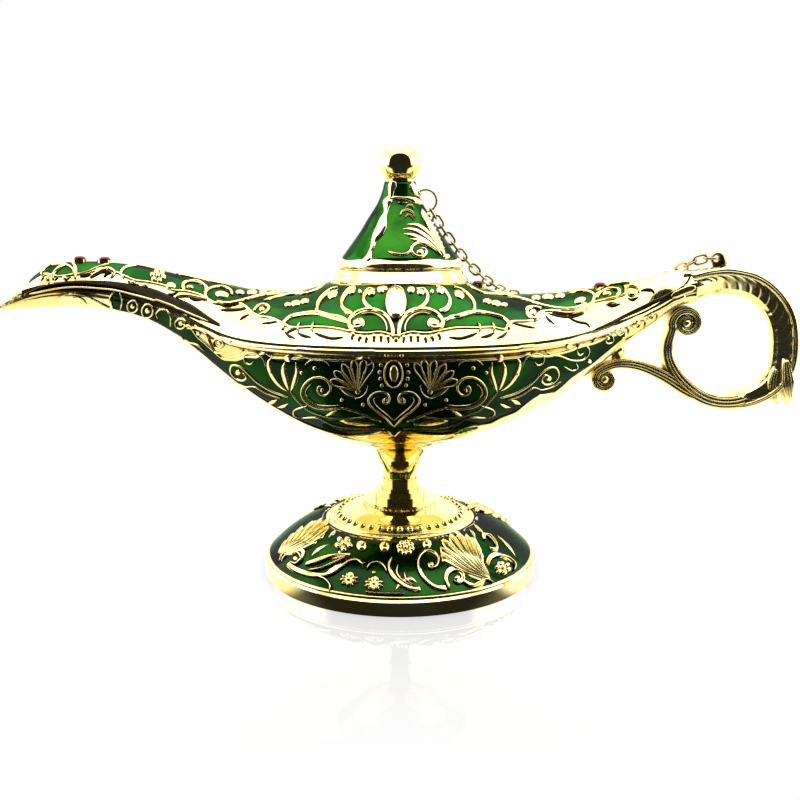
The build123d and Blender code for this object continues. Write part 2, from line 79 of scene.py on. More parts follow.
def pixelRay(u, v):
    pitch = math.radians(photoView["pitch"])
    right = (u - photoView["side"] / 2) / photoView["focal"]
    up = (photoView["side"] / 2 - v) / photoView["focal"]
    way = Vector((right, math.cos(pitch) + up * math.sin(pitch), up * math.cos(pitch) - math.sin(pitch)))
    return Vector(photoView["place"]), way.normalized()


def makeCamera():
    data = bpy.data.cameras.new("photoCamera")
    data.sensor_width = photoView["sensor"]
    data.lens = photoView["sensor"] * photoView["focal"] / photoView["side"]
    data.clip_start = 0.01
    camera = bpy.data.objects.new("photoCamera", data)
    camera.location = photoView["place"]
    camera.rotation_euler = (math.radians(90 - photoView["pitch"]), 0, 0)
    scene.collection.objects.link(camera)
    scene.camera = camera


makeCamera()
print("camera set")


# Shader maths: a socket that takes part in Python expressions, and a tree that adds any node
class Wire:
    def __init__(self, tree, socket):
        self.tree, self.socket = tree, socket

    def other(self, out):
        return Wire(self.tree, self.socket.node.outputs[out])

    def maths(self, operation, first, second):
        return self.tree.add("ShaderNodeMath", {"operation": operation}, {0: first, 1: second})

    def __add__(self, value):
        return self.maths("ADD", self, value)

    def __radd__(self, value):
        return self.maths("ADD", value, self)

    def __sub__(self, value):
        return self.maths("SUBTRACT", self, value)

    def __rsub__(self, value):
        return self.maths("SUBTRACT", value, self)

    def __mul__(self, value):
        return self.maths("MULTIPLY", self, value)

    def __rmul__(self, value):
        return self.maths("MULTIPLY", value, self)

    def __truediv__(self, value):
        return self.maths("DIVIDE", self, value)

    def __pow__(self, value):
        return self.maths("POWER", self, value)


class Shading:
    def __init__(self, tree):
        self.tree = tree
        tree.nodes.clear()

    def add(self, kind, settings=None, inputs=None, out=0):
        made = self.tree.nodes.new(kind)
        for name, value in (settings or {}).items():
            setattr(made, name, value)
        for key, value in (inputs or {}).items():
            if isinstance(value, Wire):
                self.tree.links.new(value.socket, made.inputs[key])
            else:
                made.inputs[key].default_value = value
        return Wire(self, made.outputs[out] if made.outputs else None)

    def blend(self, share, first, second):
        return self.add("ShaderNodeMix", {"data_type": "RGBA"}, {0: share, 6: first, 7: second}, out=2)

    def noise(self, where, scale, detail):
        return self.add("ShaderNodeTexNoise", None, {"Vector": where, "Scale": scale, "Detail": detail})

    def ease(self, value, low, high):
        settings = {"interpolation_type": "SMOOTHSTEP"}
        return self.add("ShaderNodeMapRange", settings, {0: value, 1: low, 2: high})

    def shutIn(self, reach, samples=6):
        return 1 - self.add("ShaderNodeAmbientOcclusion", {"samples": samples}, {"Distance": reach}, out=1)


def newFinish(name):
    material = bpy.data.materials.new(name)
    material.use_nodes = True
    return material, Shading(material.node_tree)


# The end of every finish: a bump from one height, the surface and the output
def closeFinish(tree, look, height, inputs):
    bump = {"Strength": look["bump"], "Distance": look["bumpDepth"], "Height": height}
    normal = tree.add("ShaderNodeBump", None, bump)
    surface = tree.add("ShaderNodeBsdfPrincipled", None, {**inputs, "Normal": normal})
    tree.add("ShaderNodeOutputMaterial", None, {"Surface": surface})


giltLook = {
    "pale": (1.0, 0.89, 0.43, 1),
    "deep": (0.90, 0.70, 0.24, 1),
    # the dark brown of the painted shade in the gilt's hollows
    "paintedShade": (0.10, 0.045, 0.01, 1),
    "cloud": (60.0, 3.0),    # scale per metre and detail of the noise
    "cloudEdge": (0.35, 0.65),
    "grain": (900.0, 4.0),
    "dullEdge": (0.45, 0.8),
    "smooth": 0.10,          # roughness where it is best polished
    "rough": 0.14,           # added in the dull patches
    "hollowRough": 0.25,     # added in the hollows
    "reach": 0.0014,         # how far the painted shade in the hollows reaches
    "hollow": 0.85,
    "bump": 0.05,
    "bumpDepth": 0.0002,
}


def giltFinish(name, look):
    material, tree = newFinish(name)
    where = tree.add("ShaderNodeTexCoord", out=3)
    cloud = tree.ease(tree.noise(where, *look["cloud"]), *look["cloudEdge"])
    grain = tree.noise(where, *look["grain"])
    dull = tree.ease(grain, *look["dullEdge"])
    # Painted shade: the gilt turns towards the dark brown where it is shut in
    shut = tree.shutIn(look["reach"]) * look["hollow"]
    closeFinish(tree, look, grain, {
        "Base Color": tree.blend(shut, tree.blend(cloud, look["deep"], look["pale"]), look["paintedShade"]),
        "Metallic": 1.0,
        "Roughness": look["smooth"] + look["rough"] * dull + shut * look["hollowRough"],
    })
    return material


enamelLook = {
    "bright": (0.016, 0.118, 0.003, 1),
    "mid": (0.0036, 0.045, 0.0024, 1),
    # near black of the painted shade beside the relief, partly the thicker glass there
    "deep": (0.0003, 0.003, 0.001, 1),
    "pool": (75.0, 3.0),
    "poolEdge": (0.32, 0.68),
    "wave": (300.0, 2.0),
    "reach": 0.0019,
    "edge": (0.05, 0.42),    # how shut in the glass is where its dark edge starts and ends: painted shade, partly thicker glass by the relief
    "rim": (0.10, 0.30, 0.08, 1),   # what the glass mirrors at a glancing angle
    "metal": 0.94,           # the gilding that shows through the glass
    "smooth": 0.16,
    "rough": 0.12,
    "coat": 0.12,
    "coatRough": 0.03,
    "bump": 0.22,
    "bumpDepth": 0.0005,
}


def enamelFinish(name, look):
    material, tree = newFinish(name)
    where = tree.add("ShaderNodeTexCoord", out=3)
    pool = tree.ease(tree.noise(where, *look["pool"]), *look["poolEdge"])
    wave = tree.noise(where, *look["wave"])
    # Painted shade by the relief: the glass goes near black where it is shut in, partly as thicker glass would
    shut = tree.ease(tree.shutIn(look["reach"]), *look["edge"])
    closeFinish(tree, look, wave, {
        "Base Color": tree.blend(shut, tree.blend(pool, look["mid"], look["bright"]), look["deep"]),
        "Metallic": look["metal"],
        "Roughness": look["smooth"] + look["rough"] * wave,
        "Coat Weight": look["coat"],
        "Coat Roughness": look["coatRough"],
        "Specular Tint": look["rim"],
    })
    return material


plainLooks = {
    "felt": {
        "first": (0.010, 0.022, 0.014, 1), "second": (0.025, 0.045, 0.03, 1), "mottle": (1500.0, 4.0),
        "metal": 0.0, "rough": 0.95, "bump": 0.6, "bumpDepth": 0.0005,
    },
    "steel": {
        "first": (0.42, 0.42, 0.43, 1), "second": (0.58, 0.58, 0.59, 1), "mottle": (500.0, 4.0),
        "metal": 1.0, "rough": 0.3, "bump": 0.1, "bumpDepth": 0.0002,
    },
    "ruby": {
        "first": (0.03, 0.0006, 0.001, 1), "second": (0.13, 0.0015, 0.004, 1), "mottle": (420.0, 4.0),
        "metal": 0.6, "rough": 0.06, "bump": 0.15, "bumpDepth": 0.0003,
    },
}
mottleEdge = (0.35, 0.65)
mottleRough = 0.04           # added to the roughness where the mottle is high


def plainFinish(name, look):
    material, tree = newFinish(name)
    mottle = tree.noise(tree.add("ShaderNodeTexCoord", out=3), *look["mottle"])
    closeFinish(tree, look, mottle, {
        "Base Color": tree.blend(tree.ease(mottle, *mottleEdge), look["first"], look["second"]),
        "Metallic": look["metal"],
        "Roughness": look["rough"] + mottleRough * mottle,
    })
    return material


gilt = giltFinish("castGilt", giltLook)
polishedGilt = giltFinish("polishedGilt", {
    **giltLook, "smooth": 0.05, "rough": 0.05, "bump": 0.015, "hollow": 0.5,
})
wornGilt = giltFinish("wornGilt", {
    **giltLook, "pale": (0.80, 0.62, 0.22, 1), "deep": (0.32, 0.22, 0.06, 1), "cloud": (300.0, 3.0),
    "hollow": 0.95,
})
# A near-black gilt for laid strips of painted shade
paintedShade = giltFinish("paintedShade", {
    **giltLook, "pale": (0.016, 0.011, 0.005, 1), "deep": (0.005, 0.0035, 0.0015, 1), "smooth": 0.3,
})
enamel = enamelFinish("greenEnamel", enamelLook)
# A darker copy of the green enamel, painted shade, for the bowl and foot
shadedEnamel = enamelFinish("shadedEnamel", {
    **enamelLook, "bright": (0.008, 0.056, 0.0014, 1), "mid": (0.001, 0.014, 0.0008, 1),
})
felt, steel, ruby = (plainFinish(name, look) for name, look in plainLooks.items())


def dressNodes():
    finishes = {"gold": gilt, "enamel": polishedGilt, "steel": steel, "felt": felt, "ruby": ruby}
    slots = {part["node"]: part["material_slot"] for part in frame["record"]["subparts"]}
    for name, node in nodes.items():
        node.data.materials.clear()
        finish = finishes[slots[name]]
        if name == "lid_knob":
            finish = polishedGilt
        elif name.startswith(("chain", "jump")):
            finish = wornGilt
        node.data.materials.append(finish)


dressNodes()
print("finishes made")


# Test rays start clear of the lamp: this far in front of its middle or round it, and this high over its foot
aside = 0.08
overhead = 0.13
down = Vector((0, 0, -1))


def outward(angle):
    return Vector((math.sin(angle), -math.cos(angle), 0))


# The surfaces of the CAD nodes that relief is laid on
class Ground:
    def __init__(self, name):
        mesh = nodes[name].data
        points = [v.co.copy() for v in mesh.vertices]
        self.tree = BVHTree.FromPolygons(points, [p.vertices[:] for p in mesh.polygons])

    def hit(self, start, way):
        place, normal, _, _ = self.tree.ray_cast(start, way)
        if place is None:
            return None
        return place, (-normal if normal.dot(way) > 0 else normal)

    def plumb(self, x, y):
        return Ground.hit(self, Vector((x, y, overhead)), down)

    def atPixel(self, u, v):
        return self.hit(*pixelRay(u, v))

    def fromFront(self, x, z):
        return self.hit(Vector((x, -aside, z)), Vector((0, 1, 0)))

    def fromAbove(self, x, y):
        return self.hit(Vector((x, y, overhead)), down)

    def fromRound(self, angle, z):
        out = outward(angle)
        return self.hit(out * aside + Vector((0, 0, z)), -out)


# A ground without the narrow ridges that are cast on it, as heights over the plan
class QuietGround(Ground):
    nudge = 0.25 * mm        # to either side, where a slope is measured
    rounds = 6               # of the search for the place that a ray meets
    grazing = 0.04           # a ray flatter than this keeps the ridged place
    loose = 0.2 * mm         # and so does one that ends further off than this

    def slope(self, x, y):
        n = self.nudge
        return Vector(((self.level(x + n, y) - self.level(x - n, y)) / (2 * n),
                       (self.level(x, y + n) - self.level(x, y - n)) / (2 * n)))

    def hit(self, start, way):
        found = super().hit(start, way)
        if found is None:
            return None
        place = found[0]
        for _ in range(self.rounds):
            slope = self.slope(place.x, place.y)
            rate = way.z - slope.x * way.x - slope.y * way.y
            over = place.z - self.level(place.x, place.y)
            if abs(rate) < self.grazing:
                return found
            place = place - way * max(-mm, min(mm, over / rate))
        if abs(place.z - self.level(place.x, place.y)) > self.loose:
            return found
        return place, Vector((-slope.x, -slope.y, 1)).normalized()


class CoverGround(QuietGround):
    margin = 3               # cells of the grid round the node's box
    floor = 5 * mm           # how far under the node the grid lies where a plumb line misses it

    def __init__(self, name, step, span):
        super().__init__(name)
        low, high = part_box(name)
        border = self.margin * step
        self.step, self.low = step, low - Vector((border, border, 0))
        across = math.ceil((high.x - low.x) / step) + 2 * self.margin
        deep = math.ceil((high.y - low.y) / step) + 2 * self.margin
        plain = numpy.full((across, deep), low.z - self.floor)
        for i in range(across):
            for j in range(deep):
                found = self.plumb(self.low.x + i * step, self.low.y + j * step)
                if found:
                    plain[i, j] = found[0].z
        cells = math.floor(span / step)
        reach = range(-cells, cells + 1)
        around = [(i, j) for i in reach for j in reach if i * i + j * j <= cells * cells + 1]
        worn = numpy.minimum.reduce([numpy.roll(plain, spot, (0, 1)) for spot in around])
        self.heights = numpy.maximum.reduce([numpy.roll(worn, spot, (0, 1)) for spot in around])

    def level(self, x, y):
        a, b = (x - self.low.x) / self.step, (y - self.low.y) / self.step
        h = self.heights
        i = min(max(int(a), 0), h.shape[0] - 2)
        j = min(max(int(b), 0), h.shape[1] - 2)
        s, t = a - i, b - j
        near = h[i, j] * (1 - s) + h[i + 1, j] * s
        far = h[i, j + 1] * (1 - s) + h[i + 1, j + 1] * s
        return float(near * (1 - t) + far * t)


class FootGround(QuietGround):
    halvings = 30            # of the span in which a height is looked for

    def __init__(self, name, step, angles):
        super().__init__(name)
        low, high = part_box(name)
        self.step, self.heights = step, []
        turns = [math.tau * n / angles for n in range(angles)]
        for k in range(math.floor(high.x / step)):
            ring = [self.plumb(math.cos(a) * k * step, math.sin(a) * k * step) for a in turns]
            self.heights.append(min((found[0].z for found in ring if found), default=0.0))
        self.heights.append(low.z)

    def level(self, x, y):
        a = min(math.hypot(x, y) / self.step, len(self.heights) - 1.001)
        i = int(a)
        return self.heights[i] * (1 - a + i) + self.heights[i + 1] * (a - i)

    def fromRound(self, angle, z):
        out = outward(angle)
        near, far = 0.0, (len(self.heights) - 1) * self.step
        for _ in range(self.halvings):
            middle = (near + far) / 2
            near, far = (middle, far) if self.level(middle, 0) > z else (near, middle)
        slope = self.slope(middle, 0).x
        return out * middle + Vector((0, 0, z)), (Vector((0, 0, 1)) - out * slope).normalized()


# Smooth curve through points, in steps of about one length
def smoothLine(points, step, closed=False):
    line = [Vector(p) for p in points]
    count = len(line)
    out = []
    for i in range(count if closed else count - 1):
        b, c = line[i], line[(i + 1) % count]
        a = line[i - 1] if closed or i else 2 * b - c
        d = line[(i + 2) % count] if closed or i + 2 < count else 2 * c - b
        steps = max(2, round((c - b).length / step))
        for k in range(steps):
            t = k / steps
            out.append(0.5 * (2 * b + (c - a) * t + (2 * a - 5 * b + 4 * c - d) * t ** 2
                              + (3 * b - a - 3 * c + d) * t ** 3))
    if not closed:
        out.append(line[-1])
    return out


# Sections of a stroke and of a bead: place across and height, as shares
ridge = ((-1, -0.4), (-0.94, 0.28), (-0.55, 0.7), (0, 1), (0.55, 0.7), (0.94, 0.28), (1, -0.4))
mound = ((1.0, -0.4), (0.98, 0.2), (0.86, 0.58), (0.6, 0.86), (0.3, 0.97))
# Lines of a fan's petal, its vein and a shell's rib: shares of the way, of the bow or side, of the width
petalLine = ((0, 0, 0.3), (0.45, 1, 0.62), (0.8, 0.6, 1), (1, 0, 0.7))
veinLine = ((0, 0), (0.5, 1), (0.92, 0.3))
shellLine = ((0, 0), (0.5, 0.55), (0.82, 1), (1, 0), (0.82, -1), (0.5, -0.55), (0, 0))
fanForm = {"bow": 0.06, "ends": 0.3, "veinWidth": 1.5, "veinRise": 1.25}
leafForm = {"least": 0.22, "from": 0.12, "span": 0.8, "ends": 0.3}    # its width follows a stretch of a sine
rosetteForm = {"turn": 0.25, "far": 0.66, "petal": 0.36, "heart": 0.32, "heartRise": 1.3, "count": 8}
starForm = {"turn": 0.5, "width": 4.4, "spots": (0.2, 0.6, 1.0), "heart": 2.2, "heartRise": 1.2, "count": 8}
strokeStep = 1.7         # in pixels
taperSteps = 3           # over which a stroke narrows towards its ends; a shorter one is left out
normalSpan = 2           # places to either side whose normals are averaged
circleSpots = 12
beadReach = 4            # an end of a bead's axis that lies further off, in its radii, has left the surface
mirrorBack = Matrix(((1, 0, 0), (0, -1, 0), (0, 0, 1)))
halfTurn = Matrix(((-1, 0, 0), (0, -1, 0), (0, 0, 1)))
here = Matrix.Identity(3)
longestStep = 4.0 * mm   # a stroke that jumps further has left its surface


def joinRings(points, faces, rings, closed=False):
    start, ring, count = len(points), len(rings[0]), len(rings)
    points.extend(p for r in rings for p in r)
    for i in range(count if closed else count - 1):
        a, b = start + i * ring, start + (i + 1) % count * ring
        for j in range(ring):
            k = (j + 1) % ring
            faces.append((a + j, a + k, b + k, b + j))
    if not closed:
        faces.append(tuple(range(start, start + ring)))
        faces.append(tuple(range(start + (count - 1) * ring, start + count * ring)))


# Raised gilt work on one ground: each stroke is a closed, domed strip, each bead a closed mound
class Relief:
    def __init__(self, ground, copies, lift, rise, swell=1.0):
        self.ground, self.copies, self.lift, self.rise, self.swell = ground, copies, lift, rise, swell
        self.points, self.faces = [], []

    def lay(self, u, v):
        found = self.ground.atPixel(u, v)
        return found and (found[0] + found[1] * self.lift, found[1])

    def stroke(self, width, pixels, closed=False, vein=0.0, rise=None, ends=0.45):
        spots = [(p[0], p[1], p[2] if len(p) > 2 else width) for p in pixels]
        line = smoothLine(spots, strokeStep, closed)
        run = [(found, p[2]) for p in line if (found := self.lay(p[0], p[1]))]
        run = [r for i, r in enumerate(run) if not i or (r[0][0] - run[i - 1][0][0]).length < longestStep]
        last = len(run) - 1
        if last < taperSteps:
            return
        track = []
        for i, ((place, normal), wide) in enumerate(run):
            near = [run[j][0][1] for j in range(max(0, i - normalSpan), min(last, i + normalSpan) + 1)]
            if not closed:
                wide *= min(1.0, ends + (1 - ends) * min(i, last - i) / taperSteps)
            track.append((place, sum(near, Vector()).normalized(), wide * self.swell * pixel / 2))
        self.strip(track, rise or self.rise, closed, vein)

    def strip(self, track, rise, closed=False, vein=0.0):
        count = len(track)
        widest = max(t[2] for t in track)
        rings = []
        for i, (place, normal, half) in enumerate(track):
            before = track[i - 1] if closed or i else track[0]
            after = track[(i + 1) % count] if closed or i + 1 < count else track[-1]
            side = normal.cross(after[0] - before[0]).normalized()
            tall = rise * (half / widest) ** 0.5
            rings.append([place + side * across * half + normal * tall * (up - (0 if across else vein))
                          for across, up in ridge])
        self.tube(rings, closed)

    def tube(self, rings, closed=False):
        for turn in self.copies:
            joinRings(self.points, self.faces, [[turn @ p for p in ring] for ring in rings], closed)

    def axes(self, u, v, across, tall, turned=0.0):
        c, s = math.cos(turned), math.sin(turned)
        ends = [self.lay(u + du, v + dv) for du, dv in (
            (across * c, across * s), (-across * c, -across * s),
            (-tall * s, tall * c), (tall * s, -tall * c),
        )]
        middle = self.lay(u, v)
        if middle is None:
            return None
        reach = beadReach * pixel * max(across, tall)
        ends = [e[0] if e and (e[0] - middle[0]).length < reach else None for e in ends]
        first = self.span(middle[0], ends[0], ends[1])
        second = self.span(middle[0], ends[2], ends[3])
        return None if first is None or second is None else (middle[0], middle[1], first, second)

    def span(self, middle, one, two):
        if one and two:
            return (one - two) / 2
        return one - middle if one else (middle - two if two else None)

    def bead(self, u, v, across, tall=None, turned=0.0, rise=None, count=12):
        found = self.axes(u, v, across, tall or across, turned)
        if found:
            self.knop(*found, rise or self.rise, count)

    def knop(self, middle, normal, first, second, rise, count=12):
        for turn in self.copies:
            start = len(self.points)
            for out, up in mound:
                for k in range(count):
                    a = math.tau * k / count
                    spot = middle + (first * math.cos(a) + second * math.sin(a)) * out + normal * rise * up
                    self.points.append(turn @ spot)
            self.points.append(turn @ (middle + normal * rise))
            top = len(self.points) - 1
            for r in range(len(mound) - 1):
                for k in range(count):
                    a, b = start + r * count + k, start + r * count + (k + 1) % count
                    self.faces.append((a, b, b + count, a + count))
            crown = start + (len(mound) - 1) * count
            for k in range(count):
                self.faces.append((crown + k, crown + (k + 1) % count, top))
            self.faces.append(tuple(range(start, start + count)))

    def ring(self, u, v, across, tall, width, rise=None):
        turns = [math.tau * k / circleSpots for k in range(circleSpots)]
        circle = [(u + across * math.cos(a), v + tall * math.sin(a)) for a in turns]
        self.stroke(width, circle, closed=True, rise=rise)

    def fan(self, root, tips, width, vein, rise):
        start = Vector(root)
        for tip in tips:
            way = Vector(tip) - start
            bow = Vector((-way.y, way.x)) * fanForm["bow"] * (1 if way.x > 0 else -1)
            petal = [(*(start + way * t + bow * b), width * w) for t, b, w in petalLine]
            self.stroke(width, petal, vein=vein, rise=rise, ends=fanForm["ends"])
            line = [start + way * t + bow * b for t, b in veinLine]
            self.stroke(fanForm["veinWidth"], line, rise=rise * fanForm["veinRise"])

    def shell(self, root, tips, width, line):
        start = Vector(root)
        for tip in tips:
            way = Vector(tip) - start
            side = Vector((-way.y, way.x)).normalized() * width / 2
            self.stroke(line, [start + way * t + side * s for t, s in shellLine])

    def leaf(self, width, pixels, vein=0.3):
        form = leafForm
        last = len(pixels) - 1
        swell = []
        for i, (u, v) in enumerate(pixels):
            bulge = math.sin(math.pi * (form["from"] + form["span"] * i / last))
            swell.append((u, v, width * max(form["least"], bulge)))
        self.stroke(width, swell, vein=vein, ends=form["ends"])

    def rosette(self, u, v, radius, petals, squeeze):
        form = rosetteForm
        far, petal, heart = (radius * form[part] for part in ("far", "petal", "heart"))
        for k in range(petals):
            a = math.tau * (k + form["turn"]) / petals
            place = (u + far * math.cos(a), v + far * squeeze * math.sin(a))
            self.bead(*place, petal, petal * squeeze, count=form["count"])
        self.bead(u, v, heart, heart * squeeze, rise=self.rise * form["heartRise"], count=form["count"])

    def star(self, u, v, radius, petals, squeeze):
        form = starForm
        for k in range(petals):
            a = math.tau * (k + form["turn"]) / petals
            c, s = math.cos(a), squeeze * math.sin(a)
            petal = [(u + c * radius * f, v + s * radius * f) for f in form["spots"]]
            self.leaf(form["width"], petal, vein=0.0)
        heart = form["heart"]
        self.bead(u, v, heart, heart * squeeze, rise=self.rise * form["heartRise"], count=form["count"])

    def cast(self, name, finish=gilt, body="body"):
        return addPiece(name, self.points, self.faces, finish, body)


def addPiece(name, points, faces, finish, body):
    mesh = bpy.data.meshes.new(name)
    mesh.from_pydata(points, [], faces)
    tidy = bmesh.new()
    tidy.from_mesh(mesh)
    bmesh.ops.recalc_face_normals(tidy, faces=tidy.faces)
    tidy.to_mesh(mesh)
    tidy.free()
    mesh.shade_smooth()
    mesh.materials.append(finish)
    piece = bpy.data.objects.new(name, mesh)
    scene.collection.objects.link(piece)
    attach(piece, body)
    return piece


enamelRise = 0.12 * mm
enamelSink = 0.35 * mm
plateEdge = 0.2              # rise of a plate's edge, of the full rise


# Thin closed plate over a grid of places on a ground; a wrapped grid closes on itself, another is mirrored
def layPlate(name, rows, rise, finish, body, wrapped=False):
    rows = [row for row in rows if all(row)]
    deep, wide = len(rows), len(rows[0])
    across = wide if wrapped else wide - 1
    points, faces = [], []
    for turn in (here,) if wrapped else (here, mirrorBack):
        start = len(points)
        for i, row in enumerate(rows):
            for j, (place, normal) in enumerate(row):
                edge = i in (0, deep - 1) or (not wrapped and j in (0, wide - 1))
                points.append(turn @ (place + normal * rise * (plateEdge if edge else 1)))
                points.append(turn @ (place - normal * enamelSink))
        spot = lambda i, j, low: start + 2 * (i * wide + j % wide) + low
        for i in range(deep - 1):
            for j in range(across):
                for low in (0, 1):
                    corners = ((i, j), (i, j + 1), (i + 1, j + 1), (i + 1, j))
                    faces.append(tuple(spot(*corner, low) for corner in corners))
        for i in (0, deep - 1):
            for j in range(across):
                faces.append((spot(i, j, 0), spot(i, j + 1, 0), spot(i, j + 1, 1), spot(i, j, 1)))
        for j in () if wrapped else (0, wide - 1):
            for i in range(deep - 1):
                faces.append((spot(i, j, 0), spot(i + 1, j, 0), spot(i + 1, j, 1), spot(i, j, 1)))
    addPiece(name, points, faces, finish, body)


def along(line, x):
    for (xa, za), (xb, zb) in zip(line, line[1:]):
        if xa <= x <= xb:
            return za + (zb - za) * (x - xa) / (xb - xa)
    return line[0][1] if x < line[0][0] else line[-1][1]


hullGround, lidGround = Ground("lower_shell"), Ground("lid")
coverGround = CoverGround("upper_shell", step=0.4 * mm, span=0.8 * mm)
footGround = FootGround("foot", step=0.25 * mm, angles=48)

hullEnamel = {
    # scalloped lower border of the enamel on the bowl, left to right
    "border": [
        (112, 308), (121, 310.5), (130, 312.5), (140, 315.5), (150, 319), (163, 325.5), (180, 336),
        (189, 342.5), (198, 349.5), (206, 356), (214, 363), (228, 374.5), (238, 382.5), (248, 389),
        (258, 396), (278, 408.5), (300, 420.5), (311, 425.5), (322, 429.5), (336, 433.5), (350, 435.5),
        (372, 434), (386, 431), (394, 436), (402, 431), (420, 433.5), (440, 434.5), (455, 432.5), (466, 427),
        (478, 425.5), (490, 423), (500, 418), (515, 412), (524, 405), (537, 396), (552, 393), (563, 385),
        (572, 377), (590, 365), (600, 357), (612, 347), (624, 337),
    ],
    "start": -74.0 * mm,
    "end": 58.0 * mm,
    "step": 1.0 * mm,
    "rows": 18,
    # from the rim down to the enamel's upper edge, along x, in mm
    "below": [
        (-76.5, 0.5), (-58, 0.7), (-54, 1.6), (-50, 2.8), (-46.5, 4.2), (-43, 5.4), (-39.5, 4.6), (-37, 3.2),
        (-33, 2.7), (-26, 2.3), (30, 2.3), (36, 2.9), (44, 2.4), (58, 2.2),
    ],
}
rimCell = 2 * mm


def rimLine():
    low = {}
    for v in nodes["upper_shell"].data.vertices:
        k = round(v.co.x / rimCell)
        low[k] = min(low.get(k, 1.0), v.co.z)
    return [(k * rimCell, low[k]) for k in sorted(low)]


rim = rimLine()
hullBorder = [found[0] for p in hullEnamel["border"] if (found := hullGround.atPixel(*p))]


def enamelTop(x):
    return along(rim, x) - along(hullEnamel["below"], x / mm) * mm


# Columns of places over a stretch of x, from one edge of the enamel to the other
def columnsOver(look, edges, find):
    columns = []
    x = look["start"]
    while x <= look["end"]:
        first, last = edges(x)
        columns.append([find(x, first + (last - first) * i / look["rows"]) for i in range(look["rows"] + 1)])
        x += look["step"]
    return columns


def layHullEnamel():
    line = [(p.x, p.z) for p in hullBorder]
    columns = columnsOver(hullEnamel, lambda x: (enamelTop(x), along(line, x)), hullGround.fromFront)
    layPlate("bowl_enamel", columns, enamelRise, shadedEnamel, "body")


coverEnamel = {
    # lower border of the enamel on the cover, where the plain gilt rim starts, left to right
    "border": [
        (44, 274), (58, 276.5), (75, 274.5), (92, 272), (112, 270.5), (124, 276), (135, 280.5), (150, 282.5),
        (165, 286), (174, 290.5), (187, 291.5), (200, 295), (209, 300), (219, 303.5), (240, 303.5),
        (256, 315), (272, 318.5), (283, 323), (292, 327.5), (312, 327), (332, 328), (352, 331), (366, 333.5),
        (381, 332.5), (396, 336), (411, 332.5), (426, 333.5), (440, 331), (458, 328), (476, 328),
        (492, 327.5), (505, 329.5), (511, 322), (532, 320.5), (541, 312), (560, 311), (578, 310), (592, 303),
        (606, 299.5), (620, 296), (634, 288),
    ],
    "start": -96.0 * mm,
    "end": 58.5 * mm,
    "step": 1.0 * mm,
    "rows": 16,
    "neck": 18.25 * mm,
    "apart": 0.4 * mm,       # from the middle plane to a mirrored half, at least
}
coverBorder = [found[0] for p in coverEnamel["border"] if (found := coverGround.atPixel(*p))]


def layCoverEnamel():
    line = [(p.x, min(p.y, -coverEnamel["apart"])) for p in coverBorder]
    neck = lambda x: -math.sqrt(max(0.0, coverEnamel["neck"] ** 2 - x * x))
    columns = columnsOver(coverEnamel, lambda x: (along(line, x), neck(x)), coverGround.fromAbove)
    layPlate("cover_enamel", columns, enamelRise, enamel, "body")


roundEnamel = {
    "foot": {"low": 4.0 * mm, "high": 13.75 * mm, "rows": 14, "columns": 120},
    "lid": {"low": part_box("lid")[0].z + 7.2 * mm, "high": 102.6 * mm, "rows": 22, "columns": 72},
}


def layRoundEnamel(name, ground, body, finish):
    look = roundEnamel[name]
    rows = []
    for i in range(look["rows"] + 1):
        z = look["low"] + (look["high"] - look["low"]) * i / look["rows"]
        rows.append([ground.fromRound(math.tau * k / look["columns"], z) for k in range(look["columns"])])
    layPlate(name + "_enamel", rows, enamelRise, finish, body, wrapped=True)


layHullEnamel()
layCoverEnamel()
layRoundEnamel("foot", footGround, "body", shadedEnamel)
layRoundEnamel("lid", lidGround, "lid", enamel)
print("enamel laid")


def mirrored(pixels, middle):
    return [(2 * middle - p[0], *p[1:]) for p in pixels]


